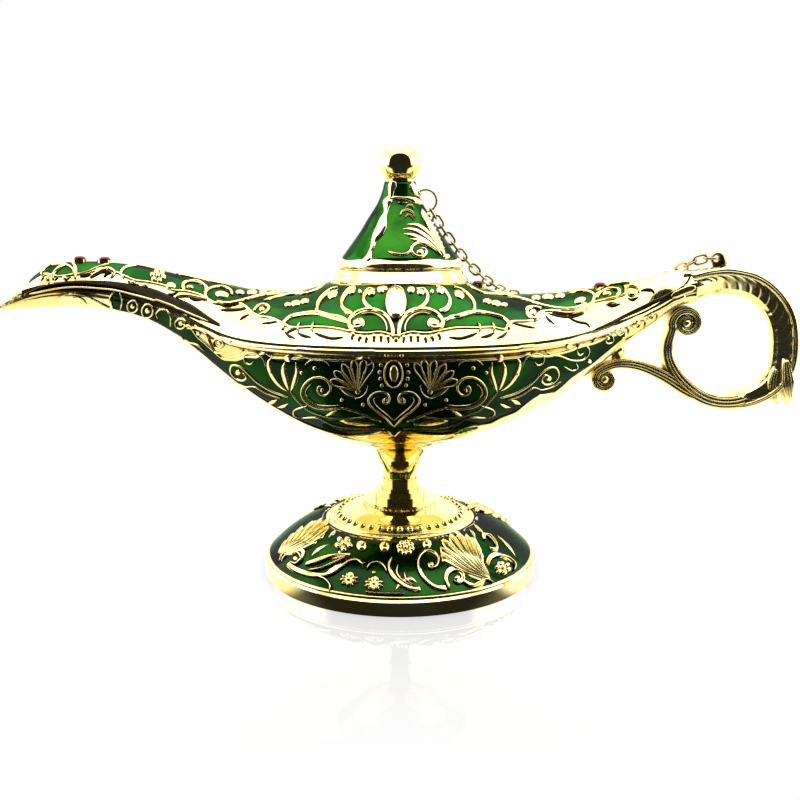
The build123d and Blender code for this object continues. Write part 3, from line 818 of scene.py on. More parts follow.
# Bowl: strokes are (width, pixels), the ones under "pairs" are repeated left of the middle
bowlRelief = {
    "middle": 394.0,
    "rise": 0.4 * mm,
    "swell": 0.88,           # how wide a stroke is, of the width written
    "pairs": {
        "bigScroll": (2.9, [
            (407, 421), (420, 416), (432, 411), (445, 408), (460, 408.5), (472, 407), (481, 402), (486, 395),
            (485, 387), (479, 380), (471, 377), (463, 378.5), (458, 384), (457.5, 390), (461.5, 394.5),
            (467, 394), (470, 390), (468.5, 386), (465.5, 387),
        ]),
        "scrollInner": (1.5, [
            (448, 404.5), (460, 405), (470, 404), (477, 400), (481.5, 394), (480.5, 388), (476, 383),
        ]),
        "heart": (2.7, [
            (394, 426), (397, 423), (403, 417), (411, 411), (417.5, 405), (419.5, 399), (414, 393),
            (407, 391.5), (401.5, 393), (398.5, 397), (399.5, 402), (403.5, 403), (405, 400), (403, 398),
        ]),
        "heartInner": (1.4, [(394, 420), (400, 414.5), (407, 409), (412.5, 403.5), (414, 398.5), (410, 396)]),
        "fanArc": (1.8, [(420, 385), (421.5, 391), (426, 396), (433, 398)]),
        "upperArc": (1.9, [(458, 366), (461, 362), (468, 359.5), (477, 360.5), (483, 365)]),
        "scrollTail": (2.0, [(480, 405), (487, 407), (493, 409.5), (494, 414), (489, 417)]),
        "stemToPlume": (2.2, [(420, 416), (440, 418), (460, 416), (478, 410), (490, 400), (497, 391)]),
        "lowerRunner": (1.7, [(404, 428), (420, 427.5), (437, 427.5), (455, 424), (470, 417), (486, 417)]),
    },
    "leaves": {
        "teardrop": (9.0, [(414, 424), (428, 423), (440, 421.5), (448, 420.5)]),
        "fanLeaf": (4.5, [(448, 388), (440, 393), (430, 398)]),
        "accent": (3.4, [(450, 409.5), (457, 413), (464, 417)]),
        "plumeLeft": (6.0, [(497, 391), (493, 381), (490.5, 372), (492, 362)]),
        "plumeMiddle": (8.0, [(499, 390), (502, 380), (504, 371), (503, 362)]),
        "plumeRight": (7.0, [(500, 391), (509, 384), (516, 374), (519, 364), (516, 357)]),
        "drop": (4.5, [(510, 399), (516, 402), (521, 404)]),
        "dropTwo": (3.6, [(499, 403), (505, 406), (511, 407)]),
    },
    "fanRoot": (430, 391),
    "fanTips": [(415, 363), (423, 359.5), (434, 360), (445, 364), (453, 371), (457, 380)],
    "fanWidth": 6.6,
    "fanLine": 2.0,
    "beads": [
        (465.5, 389.8, 2.2), (402.3, 399, 2.2), (499.5, 358.5, 4.2), (407, 365, 2.2), (408.3, 372, 2.2),
        (407.5, 378.5, 2.2), (406, 385, 2.0), (401.5, 354.5, 2.4), (430, 391, 3.0), (473, 368, 2.2),
        (446, 399.5, 1.9), (425, 404, 1.9), (486, 372.5, 1.9),
    ],
    "oval": (393.5, 373.5, 9.0, 13.3, 3.0),
    "ovalRise": 0.8 * mm,
    "cabochon": (394, 373, 5.4, 9.0),
    "cabochonRise": 0.95 * mm,
    "cabochonCount": 20,
    "crest": (393.7, 354, 3.0),
}

# Strokes of the bowl's ends, which differ: the tail to the right and the spout to the left
bowlEnds = {
    "tailCurl": (2.3, [
        (522, 367), (524, 360), (531, 354.5), (538, 353.5), (543, 357), (542, 363), (537, 365), (534, 361.5),
    ]),
    "tailRunner": (2.3, [
        (545, 351), (551, 354.5), (560, 356), (572, 360), (583, 359), (588.5, 352), (586, 345.5), (579, 345),
        (576, 350), (579, 355), (583, 352.5),
    ]),
    "tailScroll": (2.6, [
        (498, 398), (515, 393), (530, 384), (540, 374), (549, 367.5), (556, 368), (558, 375), (553, 382),
        (545, 384), (541, 379), (545, 374.5), (550, 377),
    ]),
    "tailScrollInner": (1.5, [(506, 400), (520, 395), (533, 387), (541, 389), (552, 386), (560, 381)]),
    "tailArch": (2.3, [
        (592, 343), (595, 337.5), (601, 333.5), (607, 332.5), (612, 336), (612, 341.5), (607, 343),
        (604.5, 339.5),
    ]),
    "tailHook": (2.2, [(563, 366), (572, 370), (577, 367), (575, 362)]),
    "tailRing": (2.2, [(628, 334), (628, 326.5), (622, 322), (616, 325), (615, 331), (619, 335), (624, 332)]),
    "tailRingTwo": (2.0, [
        (644, 328), (645, 321), (640, 316.5), (634, 318.5), (632.5, 325), (636, 328.5), (640, 325),
    ]),
    "tailRingThree": (1.8, [
        (656, 320), (657, 314), (653, 310.5), (648, 312), (647, 317), (650, 319.5), (653, 317),
    ]),
    "spoutCurl": (2.3, [
        (266, 366), (264, 359), (257, 353.5), (250, 352.5), (245, 356), (246, 362), (251, 364), (254, 361),
    ]),
    "spoutScroll": (2.6, [
        (290, 397), (273, 391), (258, 382), (248, 372.5), (240, 366), (232.5, 365), (231, 371), (236, 377.5),
        (243, 380), (247, 376.5), (243.5, 372.5),
    ]),
    "spoutInner": (1.5, [(282, 398), (268, 393), (255, 386), (246, 386), (236, 382)]),
    "spoutRunner": (2.3, [
        (244, 350.5), (235, 353), (224, 353), (215, 351.5), (210.5, 343), (206.5, 334), (197, 328),
        (187, 328.5),
    ]),
    "spoutBand": (2.3, [(181, 336), (188, 341), (197, 344), (205, 350)]),
    "spoutPetal": (2.2, [(158, 318), (157, 312.5), (162, 309), (168.5, 311.5), (171.5, 318), (171, 326)]),
    "beakPetal": (2.0, [(110, 302), (110.5, 296), (115.5, 292), (120.5, 294), (122.5, 301), (120.5, 309)]),
    "beakArc": (1.5, [
        (56, 299), (63, 295.5), (72, 293), (80, 293.5), (90, 297.5), (100, 302.5), (110, 307.5),
    ]),
    "beakVein": (1.2, [(73, 297.5), (79, 297), (84, 300), (87, 304)]),
}
bowlEndRings = [(133, 306, 5.2, 5.8), (148, 310.5, 5.6, 6.6), (181, 323.5, 5.0, 5.0), (219, 343, 5.0, 5.2)]
bowlEndRingWidth = 2.2
bowlEndBeads = [
    (133, 306, 2.4), (148, 310.5, 2.8), (181, 323.5, 2.6), (219, 343, 2.4), (231, 342, 3.0), (569, 346, 3.6),
    (638.5, 322.5, 2.4), (622, 329, 2.6), (652, 315, 2.0), (607.5, 338, 2.0), (548.5, 378, 2.8),
    (238.5, 372, 2.8), (517, 374, 2.0), (271, 372, 2.0), (589, 361, 2.2), (199, 334, 2.2),
]

# Gilt cords on the bowl: along the enamel's lower border, over its upper edge, and the rim's moulding
cordStep = 0.6 * mm
lowCord = {"half": 0.24 * mm, "rise": 0.3 * mm}
upperCord = {
    "start": -54.0 * mm,
    "end": 52.0 * mm,
    "count": 150,
    "over": 0.15 * mm,
    "half": 0.4 * mm,
    "rise": 0.42 * mm,
}
rimMoulding = {
    "start": -52.0 * mm,
    "end": 73.0 * mm,
    "count": 180,
    "drop": 0.2 * mm,
    "half": 0.75 * mm,
    "rise": 0.55 * mm,
    "taper": (0.2, 0.05),    # width at its start, of the full width, and how much each place adds
}


def strokesOf(relief, strokes, middle=None):
    for width, pixels in strokes.values():
        relief.stroke(width, pixels)
        if middle:
            relief.stroke(width, mirrored(pixels, middle))


def layCord(relief, border, find, look):
    line = smoothLine(border, cordStep)
    relief.strip([(*found, look["half"]) for p in line if (found := find(p))], look["rise"])


# Numbered places on the bowl's front over a stretch of x
def frontRun(look, height):
    run = []
    for k in range(look["count"] + 1):
        x = look["start"] + (look["end"] - look["start"]) * k / look["count"]
        found = hullGround.fromFront(x, height(x))
        if found:
            run.append((k, *found))
    return run


def layBowlCords(relief):
    front = lambda p: hullGround.fromFront(p.x, p.z)
    border = [p for p in hullBorder if p.x < hullEnamel["end"] and front(p)]
    layCord(relief, border, front, lowCord)
    run = frontRun(upperCord, lambda x: enamelTop(x) + upperCord["over"])
    relief.strip([(place, normal, upperCord["half"]) for _, place, normal in run], upperCord["rise"])
    look, forward = rimMoulding, Vector((0, -1, 0))
    first, growth = look["taper"]
    run = frontRun(look, lambda x: along(rim, x) - look["drop"])
    edge = [(place, forward, look["half"] * min(1.0, first + growth * k)) for k, place, _ in run]
    relief.strip(edge, look["rise"])


def castBowl():
    look = bowlRelief
    middle = look["middle"]
    relief = Relief(hullGround, (here, mirrorBack), enamelRise, look["rise"], look["swell"])
    strokesOf(relief, look["pairs"], middle)
    for width, pixels in look["leaves"].values():
        relief.leaf(width, pixels)
        relief.leaf(width, mirrored(pixels, middle))
    for side in (list, lambda pixels: mirrored(pixels, middle)):
        relief.shell(*side([look["fanRoot"]]), side(look["fanTips"]), look["fanWidth"], look["fanLine"])
        for spot in side(look["beads"]):
            relief.bead(*spot)
    relief.ring(*look["oval"], rise=look["ovalRise"])
    relief.bead(*look["cabochon"], rise=look["cabochonRise"], count=look["cabochonCount"])
    relief.bead(*look["crest"])
    strokesOf(relief, bowlEnds)
    for spot in bowlEndRings:
        relief.ring(*spot, bowlEndRingWidth)
    for spot in bowlEndBeads:
        relief.bead(*spot)
    layBowlCords(relief)
    relief.cast("bowl_relief")


# Turned fillet between the stem's flare and the bowl's underside
stemFillet = {
    "flare": [9.4, 10.0, 10.6, 11.2, 11.8],    # radii on the flare, in mm
    "end": 18.0,
    "steps": 16,
    "around": 96,
    "from": 28.5 * mm,       # below this there is no bowl
    "cover": 0.06 * mm,      # how far it lies over the castings
    "thick": 0.35 * mm,
    "nudge": 0.5,            # to either side of the end, where the bowl's slope is measured
}


def turnStemFillet():
    look = stemFillet
    place = lambda r, a, z: Vector((r * math.cos(a) * mm, r * math.sin(a) * mm, z))
    level = lambda r, a: hullGround.hit(place(r, a, look["from"]), Vector((0, 0, 1)))[0].z
    flare = [(r, level(r, 0) - look["cover"]) for r in look["flare"]]
    end = look["end"]
    (ra, za), (rb, zb) = flare[-2:]
    slope, span = (zb - za) / (rb - ra), end - rb
    rings = [[] for _ in range(2 * (len(flare) + look["steps"]))]
    for k in range(look["around"]):
        a = math.tau * k / look["around"]
        last = level(end, a) - look["cover"]
        leave = (level(end + look["nudge"], a) - level(end - look["nudge"], a)) / (2 * look["nudge"])
        profile = list(flare)
        for i in range(1, look["steps"] + 1):
            t = i / look["steps"]
            z = (zb * (1 + 2 * t) * (1 - t) ** 2 + last * t * t * (3 - 2 * t)
                 + span * (slope * t * (1 - t) ** 2 - leave * t * t * (1 - t)))
            profile.append((rb + span * t, z))
        profile += [(r, z + look["thick"]) for r, z in reversed(profile)]
        for ring, (r, z) in zip(rings, profile):
            ring.append(place(r, a, z))
    points, faces = [], []
    joinRings(points, faces, rings, closed=True)
    addPiece("stem_fillet", points, faces, gilt, "body")


# The joint's own ground: whichever half of the body is seen at a pixel
class JointGround:
    def atPixel(self, u, v):
        start, way = pixelRay(u, v)
        found = [f for f in (hullGround.hit(start, way), Ground.hit(coverGround, start, way)) if f]
        eye = Vector(photoView["place"])
        return min(found, key=lambda f: (f[0] - eye).length) if found else None


# Dark bands of painted shade along the joint, where the bevel of the cover's lip is in shade: pixel column,
# upper and lower edge, and the gilt lines beside them
darkBands = {
    "spout": [
        (24, 294, 296.5), (38, 287.5, 292.5), (57, 282.5, 291.5), (76.5, 280.3, 293), (95.7, 280.5, 295),
        (114.8, 281.5, 295.5), (134, 284.5, 299.3), (153, 288.5, 305.5), (172, 296, 312.5), (191, 304, 317.5),
        (208.5, 316, 323), (220, 323.5, 327),
    ],
    "tail": [
        (594, 329.5, 331), (606, 324, 327), (620, 316.5, 320.5), (640, 306.5, 311), (662, 296.5, 300.5),
        (677, 289.5, 292.5), (684, 285, 287),
    ],
    "lines": {
        "spout": (1.7, [
            (30, 294), (57, 288.5), (76.5, 287), (95.7, 288), (114.8, 290), (134, 294.5), (153, 299.7),
            (172, 306.5), (191, 314.5), (208.5, 322),
        ]),
        "tailEnd": (7.5, [(671, 297), (678, 293.7), (685, 290.6), (691, 288.5), (695.4, 287.3)]),
    },
    "rise": 0.28 * mm,
    "step": 3.0,
    "rows": 6,
}


def layDarkBand(name):
    look = darkBands
    ground, rows = JointGround(), look["rows"]
    columns = []
    for u, top, low in smoothLine(look[name], look["step"]):
        columns.append([ground.atPixel(u, top + (low - top) * i / rows) for i in range(rows + 1)])
    # the bands are painted shade, laid as thin dark plates
    layPlate(name + "_band", columns, look["rise"], paintedShade, "body")


def layJointLines():
    relief = Relief(JointGround(), (here, mirrorBack), darkBands["rise"], darkBands["rise"])
    strokesOf(relief, darkBands["lines"])
    relief.cast("joint_lines")


castBowl()
turnStemFillet()
layDarkBand("spout")
layDarkBand("tail")
layJointLines()
print("bowl relief cast")

coverRelief = {
    "middle": 396.0,
    "rise": 0.6 * mm,
    "swell": 1.15,
    "pairs": {
        "bigScroll": (3.6, [
            (399, 338), (399.5, 328), (403, 319), (410, 313), (420, 310), (431, 311.5), (439, 316),
            (443, 322), (441, 327), (434, 328.5), (429, 325), (430, 320.5), (435, 320),
        ]),
        "scrollInner": (1.7, [(405, 333), (405.5, 326), (409, 319.5), (415, 315.5), (422, 314), (430, 315)]),
        "smallC": (2.6, [(417, 290.5), (423, 290), (427.5, 295), (427.5, 301), (424, 306), (419, 309)]),
        "middleC": (2.8, [(436, 287), (443, 290), (448.5, 297), (450, 304), (447, 310), (440, 312.5)]),
        "outerC": (3.0, [(454, 288), (462, 291), (469.5, 297), (474, 304), (474, 312)]),
        "longBand": (3.2, [
            (443, 322), (452, 317.5), (462, 316), (473, 313), (487, 314), (500, 317), (507, 322), (509, 329),
        ]),
        "shoulder": (3.0, [(466, 284), (474, 290), (484, 294), (498, 295), (512, 297), (528, 301.5)]),
        "tooth": (2.6, [(480, 331), (479.5, 327), (477.5, 323.5)]),
        "toothTwo": (2.6, [(494, 331), (493.5, 327), (491.5, 323.5)]),
    },
    "blobs": [  # u, v, half width, half height, turned
        (411, 290.5, 4.2, 3.6, 0.0), (420.5, 293, 4.4, 3.4, 0.3), (431.5, 292.5, 2.4, 2.2, 0.0),
        (440, 291, 4.8, 3.4, 0.7), (459, 295, 6.2, 3.6, 0.6), (435, 323.5, 4.6, 3.4, 0.0),
        (487, 302, 5.0, 2.4, 0.25), (496, 304, 5.6, 2.8, 0.2), (504, 305.5, 4.0, 2.0, 0.1),
        (384, 289.5, 4.4, 3.0, 0.0),
    ],
    "drips": [(353, 334.5), (360, 337), (366.5, 338), (374, 336.5), (381, 336.5), (388, 337.5), (396, 340)],
    "drip": (2.2, 2.0),      # half width and half height
    "dripRise": 0.5 * mm,
    "dripCount": 8,
    "cabochon": (396, 302, 11.0, 16.0),
    "cabochonRise": 1.1 * mm,
    "cabochonCount": 24,
    "rosette": (158, 276.5, 8.5, 6, 0.8),
    "edge": {"half": 0.45 * mm, "rise": 0.42 * mm},      # raised edge of the plain gilt rim
}
coverEnds = {
    "tailLong": (3.0, [(512, 297), (530, 302), (545, 307), (560, 309.5), (575, 309), (586, 304.5)]),
    "tailLoop": (2.4, [
        (552, 312), (566, 314), (578, 312.5), (588, 307.5), (594, 300), (593, 294.5), (586, 292),
        (577, 292.5), (569, 294.5),
    ]),
    "tailHook": (2.6, [(541, 309.5), (533, 308), (527, 311.5), (528, 317), (534, 319.5), (540, 317)]),
    "armLeaf": (2.2, [(597, 299), (601, 293), (609, 289.5), (617, 290), (620, 294), (615, 298), (606, 300)]),
    "armCurl": (2.2, [(619, 297), (625, 294), (625.5, 289.5), (630, 286.5), (637, 288), (639, 293)]),
    "armBrow": (2.2, [(596, 292), (606, 287), (618, 284.5), (630, 283)]),
    "spoutLong": (3.0, [
        (217, 303), (228, 304), (240, 302), (255, 297.5), (272, 294), (290, 293), (306, 294),
    ]),
    "spoutHook": (2.6, [(254, 312), (259, 306.5), (266, 306), (268.5, 309.5), (264, 314), (258, 316)]),
    "spoutCurl": (2.4, [(207, 300), (206, 293), (211, 289), (220, 287.5), (229, 290), (233, 296)]),
    "spoutRing": (2.2, [(184, 291), (182.5, 287), (187, 283), (196, 281.8), (204, 285.5), (206, 292)]),
    "spoutBrow": (2.4, [(168, 271), (180, 275.5), (195, 279), (212, 283), (228, 286)]),
    "spoutTongue": (2.6, [(176, 297), (186, 296), (196, 297.5), (206, 300)]),
    "beakOuter": (2.2, [
        (42, 276), (42.5, 270.5), (50, 266.5), (60, 264.8), (69, 266.5), (74, 271), (73, 276),
    ]),
    "beakBand": (3.0, [(53, 280), (54, 274), (58, 269.5), (63, 267)]),
    "beakBandTwo": (3.4, [(75, 279), (76, 272), (75, 266), (72, 263.5)]),
    "beakLine": (1.9, [(80, 274), (90, 272), (100, 267.5), (109, 264.8)]),
    "beakLeaf": (4.2, [(90, 278), (99, 272), (108, 269), (114, 273), (111, 278)]),
    "beakHook": (2.6, [(124, 279), (121, 273), (126, 268), (136, 266), (148, 267), (156, 270)]),
}
coverEndBlobs = [
    (536, 298.5, 5.0, 2.0, 0.0), (548, 297.5, 6.4, 2.2, 0.0), (560, 296.5, 5.6, 2.0, -0.1),
    (580, 301, 6.5, 3.0, -0.3), (533, 313, 3.6, 2.8, 0.0), (632, 293, 4.6, 4.0, 0.0),
    (612, 303, 5.0, 1.8, -0.1), (607, 294.5, 5.0, 2.2, -0.1), (222, 295, 7.5, 3.2, 0.15),
    (171, 286.5, 5.5, 3.6, 0.1), (240, 293, 5.0, 2.0, 0.1), (252, 293, 5.6, 2.2, 0.0),
    (263, 292.5, 4.2, 1.8, -0.1), (262, 310, 3.2, 2.4, 0.0), (47, 279, 2.4, 2.0, 0.0),
    (65, 278.5, 2.6, 2.0, 0.0), (133, 283, 3.0, 1.8, 0.2), (145, 285.5, 3.0, 1.8, 0.2),
    (190, 288, 4.0, 1.8, 0.1),
]


def castCover():
    look = coverRelief
    middle = look["middle"]
    relief = Relief(coverGround, (here, mirrorBack), enamelRise, look["rise"], look["swell"])
    strokesOf(relief, look["pairs"], middle)
    for flip in (False, True):
        for u, v, across, tall, turned in look["blobs"]:
            if flip and u < middle:
                continue
            relief.bead(2 * middle - u if flip else u, v, across, tall, -turned if flip else turned)
        for u, v in mirrored(look["drips"], middle) if flip else look["drips"]:
            relief.bead(u, v, *look["drip"], rise=look["dripRise"], count=look["dripCount"])
    relief.bead(*look["cabochon"], rise=look["cabochonRise"], count=look["cabochonCount"])
    strokesOf(relief, coverEnds)
    for blob in coverEndBlobs:
        relief.bead(*blob)
    relief.rosette(*look["rosette"])
    border = [p for p in coverBorder if p.x < coverEnamel["end"]]
    layCord(relief, border, lambda p: coverGround.fromAbove(p.x, p.y), look["edge"])
    relief.cast("cover_relief")


castCover()

# Painted shadows beside the cover's ornament: dark strips and drops where its stepped edges cast shade
coverShadows = {
    "rise": 0.18 * mm,
    "lift": 0.05 * mm,
    "swell": 1.5,
    "pairs": {
        "long": (2.4, [(449, 337.5), (460, 338.5), (470, 336), (477, 333)]),
        "short": (2.6, [(481, 337.5), (488, 336), (494, 333)]),
        "hook": (2.2, [(497, 338.5), (503, 336), (507, 332)]),
    },
    "ends": {
        "tailLong": (2.6, [(512, 323), (524, 326), (535, 328)]),
        "tailShort": (2.6, [(546, 316), (549, 320), (554, 324)]),
        "tailLoop": (2.4, [(548, 313.5), (560, 316.5), (572, 317), (584, 313.5)]),
        "tailScroll": (2.4, [(569, 318), (578, 322), (586, 323.5), (590, 327.5)]),
        "armHook": (2.6, [(628, 298), (632, 300), (638, 297.5)]),
        "armLine": (3.0, [(641, 291), (646, 290), (652, 290.5), (654, 293.5)]),
        "armLeaf": (2.8, [(606, 304.5), (612, 306), (620, 304)]),
        "spoutLong": (3.4, [(221, 310), (232, 310), (242, 309), (252, 305)]),
        "spoutShort": (3.0, [(240, 320), (244, 317), (249, 314.5)]),
        "spoutLoop": (2.4, [(262, 323.5), (272, 322.5), (283, 320)]),
        "spoutHook": (3.0, [(286, 334), (291, 330.5), (298, 328.5)]),
        "neckHook": (3.0, [(190, 298.5), (197, 300), (205, 298)]),
        "boss": (3.0, [(168, 294), (173, 294.5), (178, 292)]),
        "beakOne": (2.6, [(128, 281), (132, 284.5), (139, 285)]),
        "beakTwo": (2.8, [(104, 277.5), (107, 274), (113, 271)]),
        "beakThree": (3.2, [(80, 277), (88, 275), (97, 270.5)]),
        "beakFour": (2.2, [(41, 281), (43.5, 277.5), (46, 275)]),
        "beakFive": (2.2, [(55, 281), (57.5, 277.5), (61, 275)]),
        "beakSix": (2.2, [(66, 281), (68.5, 278.5), (71, 277.5)]),
    },
    # painted drop shadows under the cover's drips
    "pips": [(352, 338), (359, 339.5), (366, 341), (374, 340), (381, 340), (388.5, 341)],
    "pip": (1.5, 2.6),       # half width and half height
    "pipCount": 8,
    "tongue": (1.4, [(682, 287.5), (686, 283.5), (689.5, 278), (690.5, 271)]),
}


def shadeCover():
    look = coverShadows
    middle = coverRelief["middle"]
    shadows = Relief(coverGround, (here, mirrorBack), look["lift"], look["rise"], look["swell"])
    strokesOf(shadows, look["pairs"], middle)
    strokesOf(shadows, look["ends"])
    for u, v in look["pips"]:
        for place in (u, 2 * middle - u):
            shadows.bead(place, v, *look["pip"], count=look["pipCount"])
    shadows.stroke(*look["tongue"])
    shadows.cast("cover_shadows", paintedShade)


shadeCover()
print("cover relief cast, shadows painted")

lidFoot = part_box("lid")[0].z + 5.0 * mm     # where the lid's ring rests on the neck, over its plug
lidRelief = {
    "rise": 0.6 * mm,
    "ribRise": 0.7 * mm,
    "ribEnds": 0.7,
    "petalVein": 0.35,
    "rib": (8.0, [
        (393, 181, 10), (392.5, 186, 9.5), (391.5, 191, 7), (391, 196, 6), (388, 201.5, 11),
        (387, 206.5, 7.5), (385.8, 213, 4.6), (383.2, 219, 8.4), (381.5, 227, 12.5), (377.7, 234.6, 12),
        (374.3, 241, 7), (372.5, 247.4, 5), (370, 252.5, 4.4), (368.5, 257.5, 8.3), (366, 261, 13),
    ]),
    "strokes": {
        "bar": (4.0, [
            (390, 199.5, 6), (396, 197.8, 3.4), (404, 198.2, 3.2), (409, 199, 5), (414, 200.5, 7.5),
            (419, 202, 7), (422.5, 204.5, 3),
        ]),
        "barLower": (1.6, [(398, 203.2), (403, 203.8), (407, 203.6)]),
        "curl": (3.2, [
            (441, 256), (434, 249.5), (426, 245), (418, 243.5), (412.5, 246.5), (411.5, 252), (416, 256.5),
            (422, 257), (426, 253.5), (424, 249.5), (419.5, 249),
        ]),
        "tail": (3.2, [(411, 246), (410.5, 251), (406, 254.5), (399, 255), (392, 253.5), (388.5, 252)]),
        "smallCurl": (2.4, [(400, 216), (402, 212), (407, 210.5), (412, 213), (414.5, 217.5)]),
        "smallCurlTwo": (2.0, [(404.5, 218.5), (407, 215.5), (411, 216.5), (413.5, 220)]),
        "smallCurlThree": (2.2, [(405, 208.5), (408, 205.8), (412, 206.5), (413, 210)]),
    },
    "petals": {
        "tallPetal": (13.0, [(444.5, 256.5), (438, 243), (431, 229), (425, 217), (421.5, 209)]),
        "sidePetal": (7.0, [(440, 250), (430, 236), (419, 227), (407, 224.5)]),
        "sidePetalTwo": (7.0, [(440, 252), (429, 240), (416, 231.5), (403, 229)]),
        "sidePetalThree": (7.0, [(440, 254), (428, 244), (415, 237), (404, 234)]),
        "sidePetalFour": (6.0, [(441, 255), (430, 247), (419, 241.5), (410, 239)]),
        "bud": (11.0, [(411.5, 181.5), (412.5, 187), (415, 192), (418, 197)]),
    },
    "beads": [(420, 252.8, 4.0, 3.2), (446, 257, 3.4, 2.6)],
    "beadRow": [(427.5 + 2.05 * k, 214 + 5 * k, 1.5, 1.5) for k in range(8)],
    # moulded ring round the lid's foot: radius and height over the neck in mm, the upper edge rises in waves
    "band": [
        (14.6, 2.35), (15.3, 2.45), (15.85, 2.15), (16.25, 1.6), (16.42, 0.95), (16.36, 0.4), (16.1, 0.08),
        (15.4, 0.06), (14.6, 0.5),
    ],
    "bandWave": 0.5,
    "bandLift": (1.0, 1.0, 0.6),     # how much of the wave the first places of the section take
    "bandWaves": 6,
    "bandSteps": 144,
    "coneSlope": 0.75,
}


def lidBand(relief):
    look = lidRelief
    rings = []
    for k in range(look["bandSteps"]):
        a = math.tau * k / look["bandSteps"]
        wave = look["bandWave"] * (0.5 - 0.5 * math.cos(a * look["bandWaves"]))
        ring = []
        for i, (radius, up) in enumerate(look["band"]):
            lift = wave * look["bandLift"][i] if i < len(look["bandLift"]) else 0.0
            out = (radius - look["coneSlope"] * lift) * mm
            ring.append(Vector((math.sin(a) * out, -math.cos(a) * out, lidFoot + (up + lift) * mm)))
        rings.append(ring)
    relief.copies = (here,)
    relief.tube(rings, closed=True)


def castLid():
    look = lidRelief
    relief = Relief(lidGround, (here, halfTurn), enamelRise, look["rise"])
    relief.stroke(*look["rib"], rise=look["ribRise"], ends=look["ribEnds"])
    strokesOf(relief, look["strokes"])
    for width, pixels in look["petals"].values():
        relief.leaf(width, pixels, vein=look["petalVein"])
    for spot in look["beads"] + look["beadRow"]:
        relief.bead(*spot)
    lidBand(relief)
    relief.cast("lid_relief", body="lid")


castLid()
print("lid relief cast")

footRelief = {
    "rise": 0.45 * mm,
    "cord": 0.64 * mm,       # rise of the enamelled scrolls
    "cordSwell": 1.3,
    "fine": 0.28 * mm,       # rise of the gilt line on them
    "fineSwell": 0.7,
    "strokes": {
        "leftCurl": (2.2, [
            (281, 562), (284, 556), (291, 552.5), (299, 554), (302, 560), (297, 564.5), (291, 562.5),
        ]),
        "leftBranch": (2.6, [
            (288, 566), (300, 573), (316, 577), (331, 575), (342, 568), (350, 562.5), (358, 561.5),
            (364, 566),
        ]),
        "leftBranchTwo": (2.0, [(318, 577), (326, 580), (331, 586), (330, 592)]),
        "leftSweep": (2.2, [(306, 566), (318, 563), (330, 558), (340, 556), (350, 557)]),
        "leftSweepTwo": (2.0, [(310, 571), (322, 569), (334, 564), (345, 559)]),
        "arch": (2.0, [(367, 570), (371, 565), (378, 563.5), (384, 567), (387, 573)]),
        "spray": (2.6, [(392, 559), (389, 566), (391, 575), (398, 583), (408, 589), (420, 591)]),
        "sprayTwo": (2.2, [(398, 566), (397, 574), (403, 582), (412, 587)]),
        "sprayThree": (2.0, [(404, 573), (406, 580), (413, 586)]),
        "bigCurl": (2.4, [
            (446, 591), (434, 588), (424, 580), (418.5, 570), (419, 559), (426, 552.5), (434, 553.5),
            (438, 560), (436, 567), (430, 569), (427.5, 564.5),
        ]),
        "curl": (2.4, [
            (449, 590), (446, 582), (448, 574.5), (455, 571), (462, 574), (463, 580.5), (458, 584),
            (453, 581),
        ]),
        "runner": (2.2, [(462, 582), (470, 586.5), (478, 583), (485, 580), (492, 583)]),
        "rightCurl": (2.2, [(484, 541), (485, 536), (490, 537.5), (495, 544), (495, 550), (490, 550)]),
        "rightArc": (2.2, [(487, 567), (490, 560), (498, 556.5), (507, 558.5), (514, 565), (513, 571)]),
        "hemLine": (1.4, [(366, 592.5), (378, 594), (391, 594.5), (404, 594.5)]),
    },
    "leaves": {
        "leftLeaf": (6.0, [(312, 556), (319, 550), (328, 545)]),
        "leftBud": (4.6, [(329, 538), (333, 534), (336, 530)]),
        "sprayLeaf": (6.4, [(396, 590), (403, 582), (410, 579), (417, 583)]),
        "branchLeaf": (5.6, [(326, 574), (334, 569), (342, 563)]),
        "palmTail": (7.0, [(466, 565), (476, 573), (489, 581)]),
        "palmTailTwo": (5.4, [(462, 571), (472, 577), (486, 582)]),
        "palmTailThree": (5.0, [(475, 565), (483, 571), (491, 580)]),
        "rightPlume": (4.0, [(502, 540), (509, 548), (515, 557)]),
        "rightPlumeTwo": (3.4, [(497, 536), (504, 543), (510, 551)]),
        "rightLeaf": (4.4, [(473, 524), (479, 530), (484, 535)]),
        "rightLeafTwo": (3.6, [(469, 530), (473, 534), (475, 539)]),
    },
    "fans": [
        ((489, 580), [
            (441, 557), (440, 548), (443, 540), (450, 534.5), (458, 533), (466, 535), (473, 540), (477, 548),
        ], 10.4),
        ((280, 555), [
            (287, 541), (294, 534), (303, 527), (313, 522), (322, 519), (329.5, 519), (329, 527),
            (325, 534.5), (318, 541), (309, 546), (298, 550.5),
        ], 8.6),
    ],
    "rosettes": [(344, 545, 9.5, 5), (405.5, 549, 9.5, 8), (502, 569, 8.5, 6)],
    "balls": [(361.5, 547, 5.4), (384.5, 548, 5.4), (427, 545.5, 5.0)],
    "proud": 0.9 * mm,       # rise of the flowers and palmettes
    "ballRise": 1.1 * mm,
    "fanVein": 0.12,
    # height of what lies on the foot's slope, of its width
    "rosetteSqueeze": 0.8,
    "ballSqueeze": 0.9,
    "starSqueeze": 0.75,
    "beadSqueeze": 0.85,
    "stars": [(349, 580.5, 10.0, 9), (374, 584.5, 10.5, 10)],
    "beads": [
        (431, 565, 3.0), (457, 578, 3.2), (296, 559, 2.6), (291, 566, 2.0), (374, 573, 2.0), (340, 553, 1.8),
        (440, 587, 2.0),
    ],
    "beading": {"count": 40, "radius": 16.7 * mm, "size": 0.85 * mm, "rise": 0.75 * mm},
    "edges": {"low": 4.4 * mm, "half": 0.5 * mm, "rise": 0.4 * mm, "dome": 18.2 * mm, "count": 150},
}


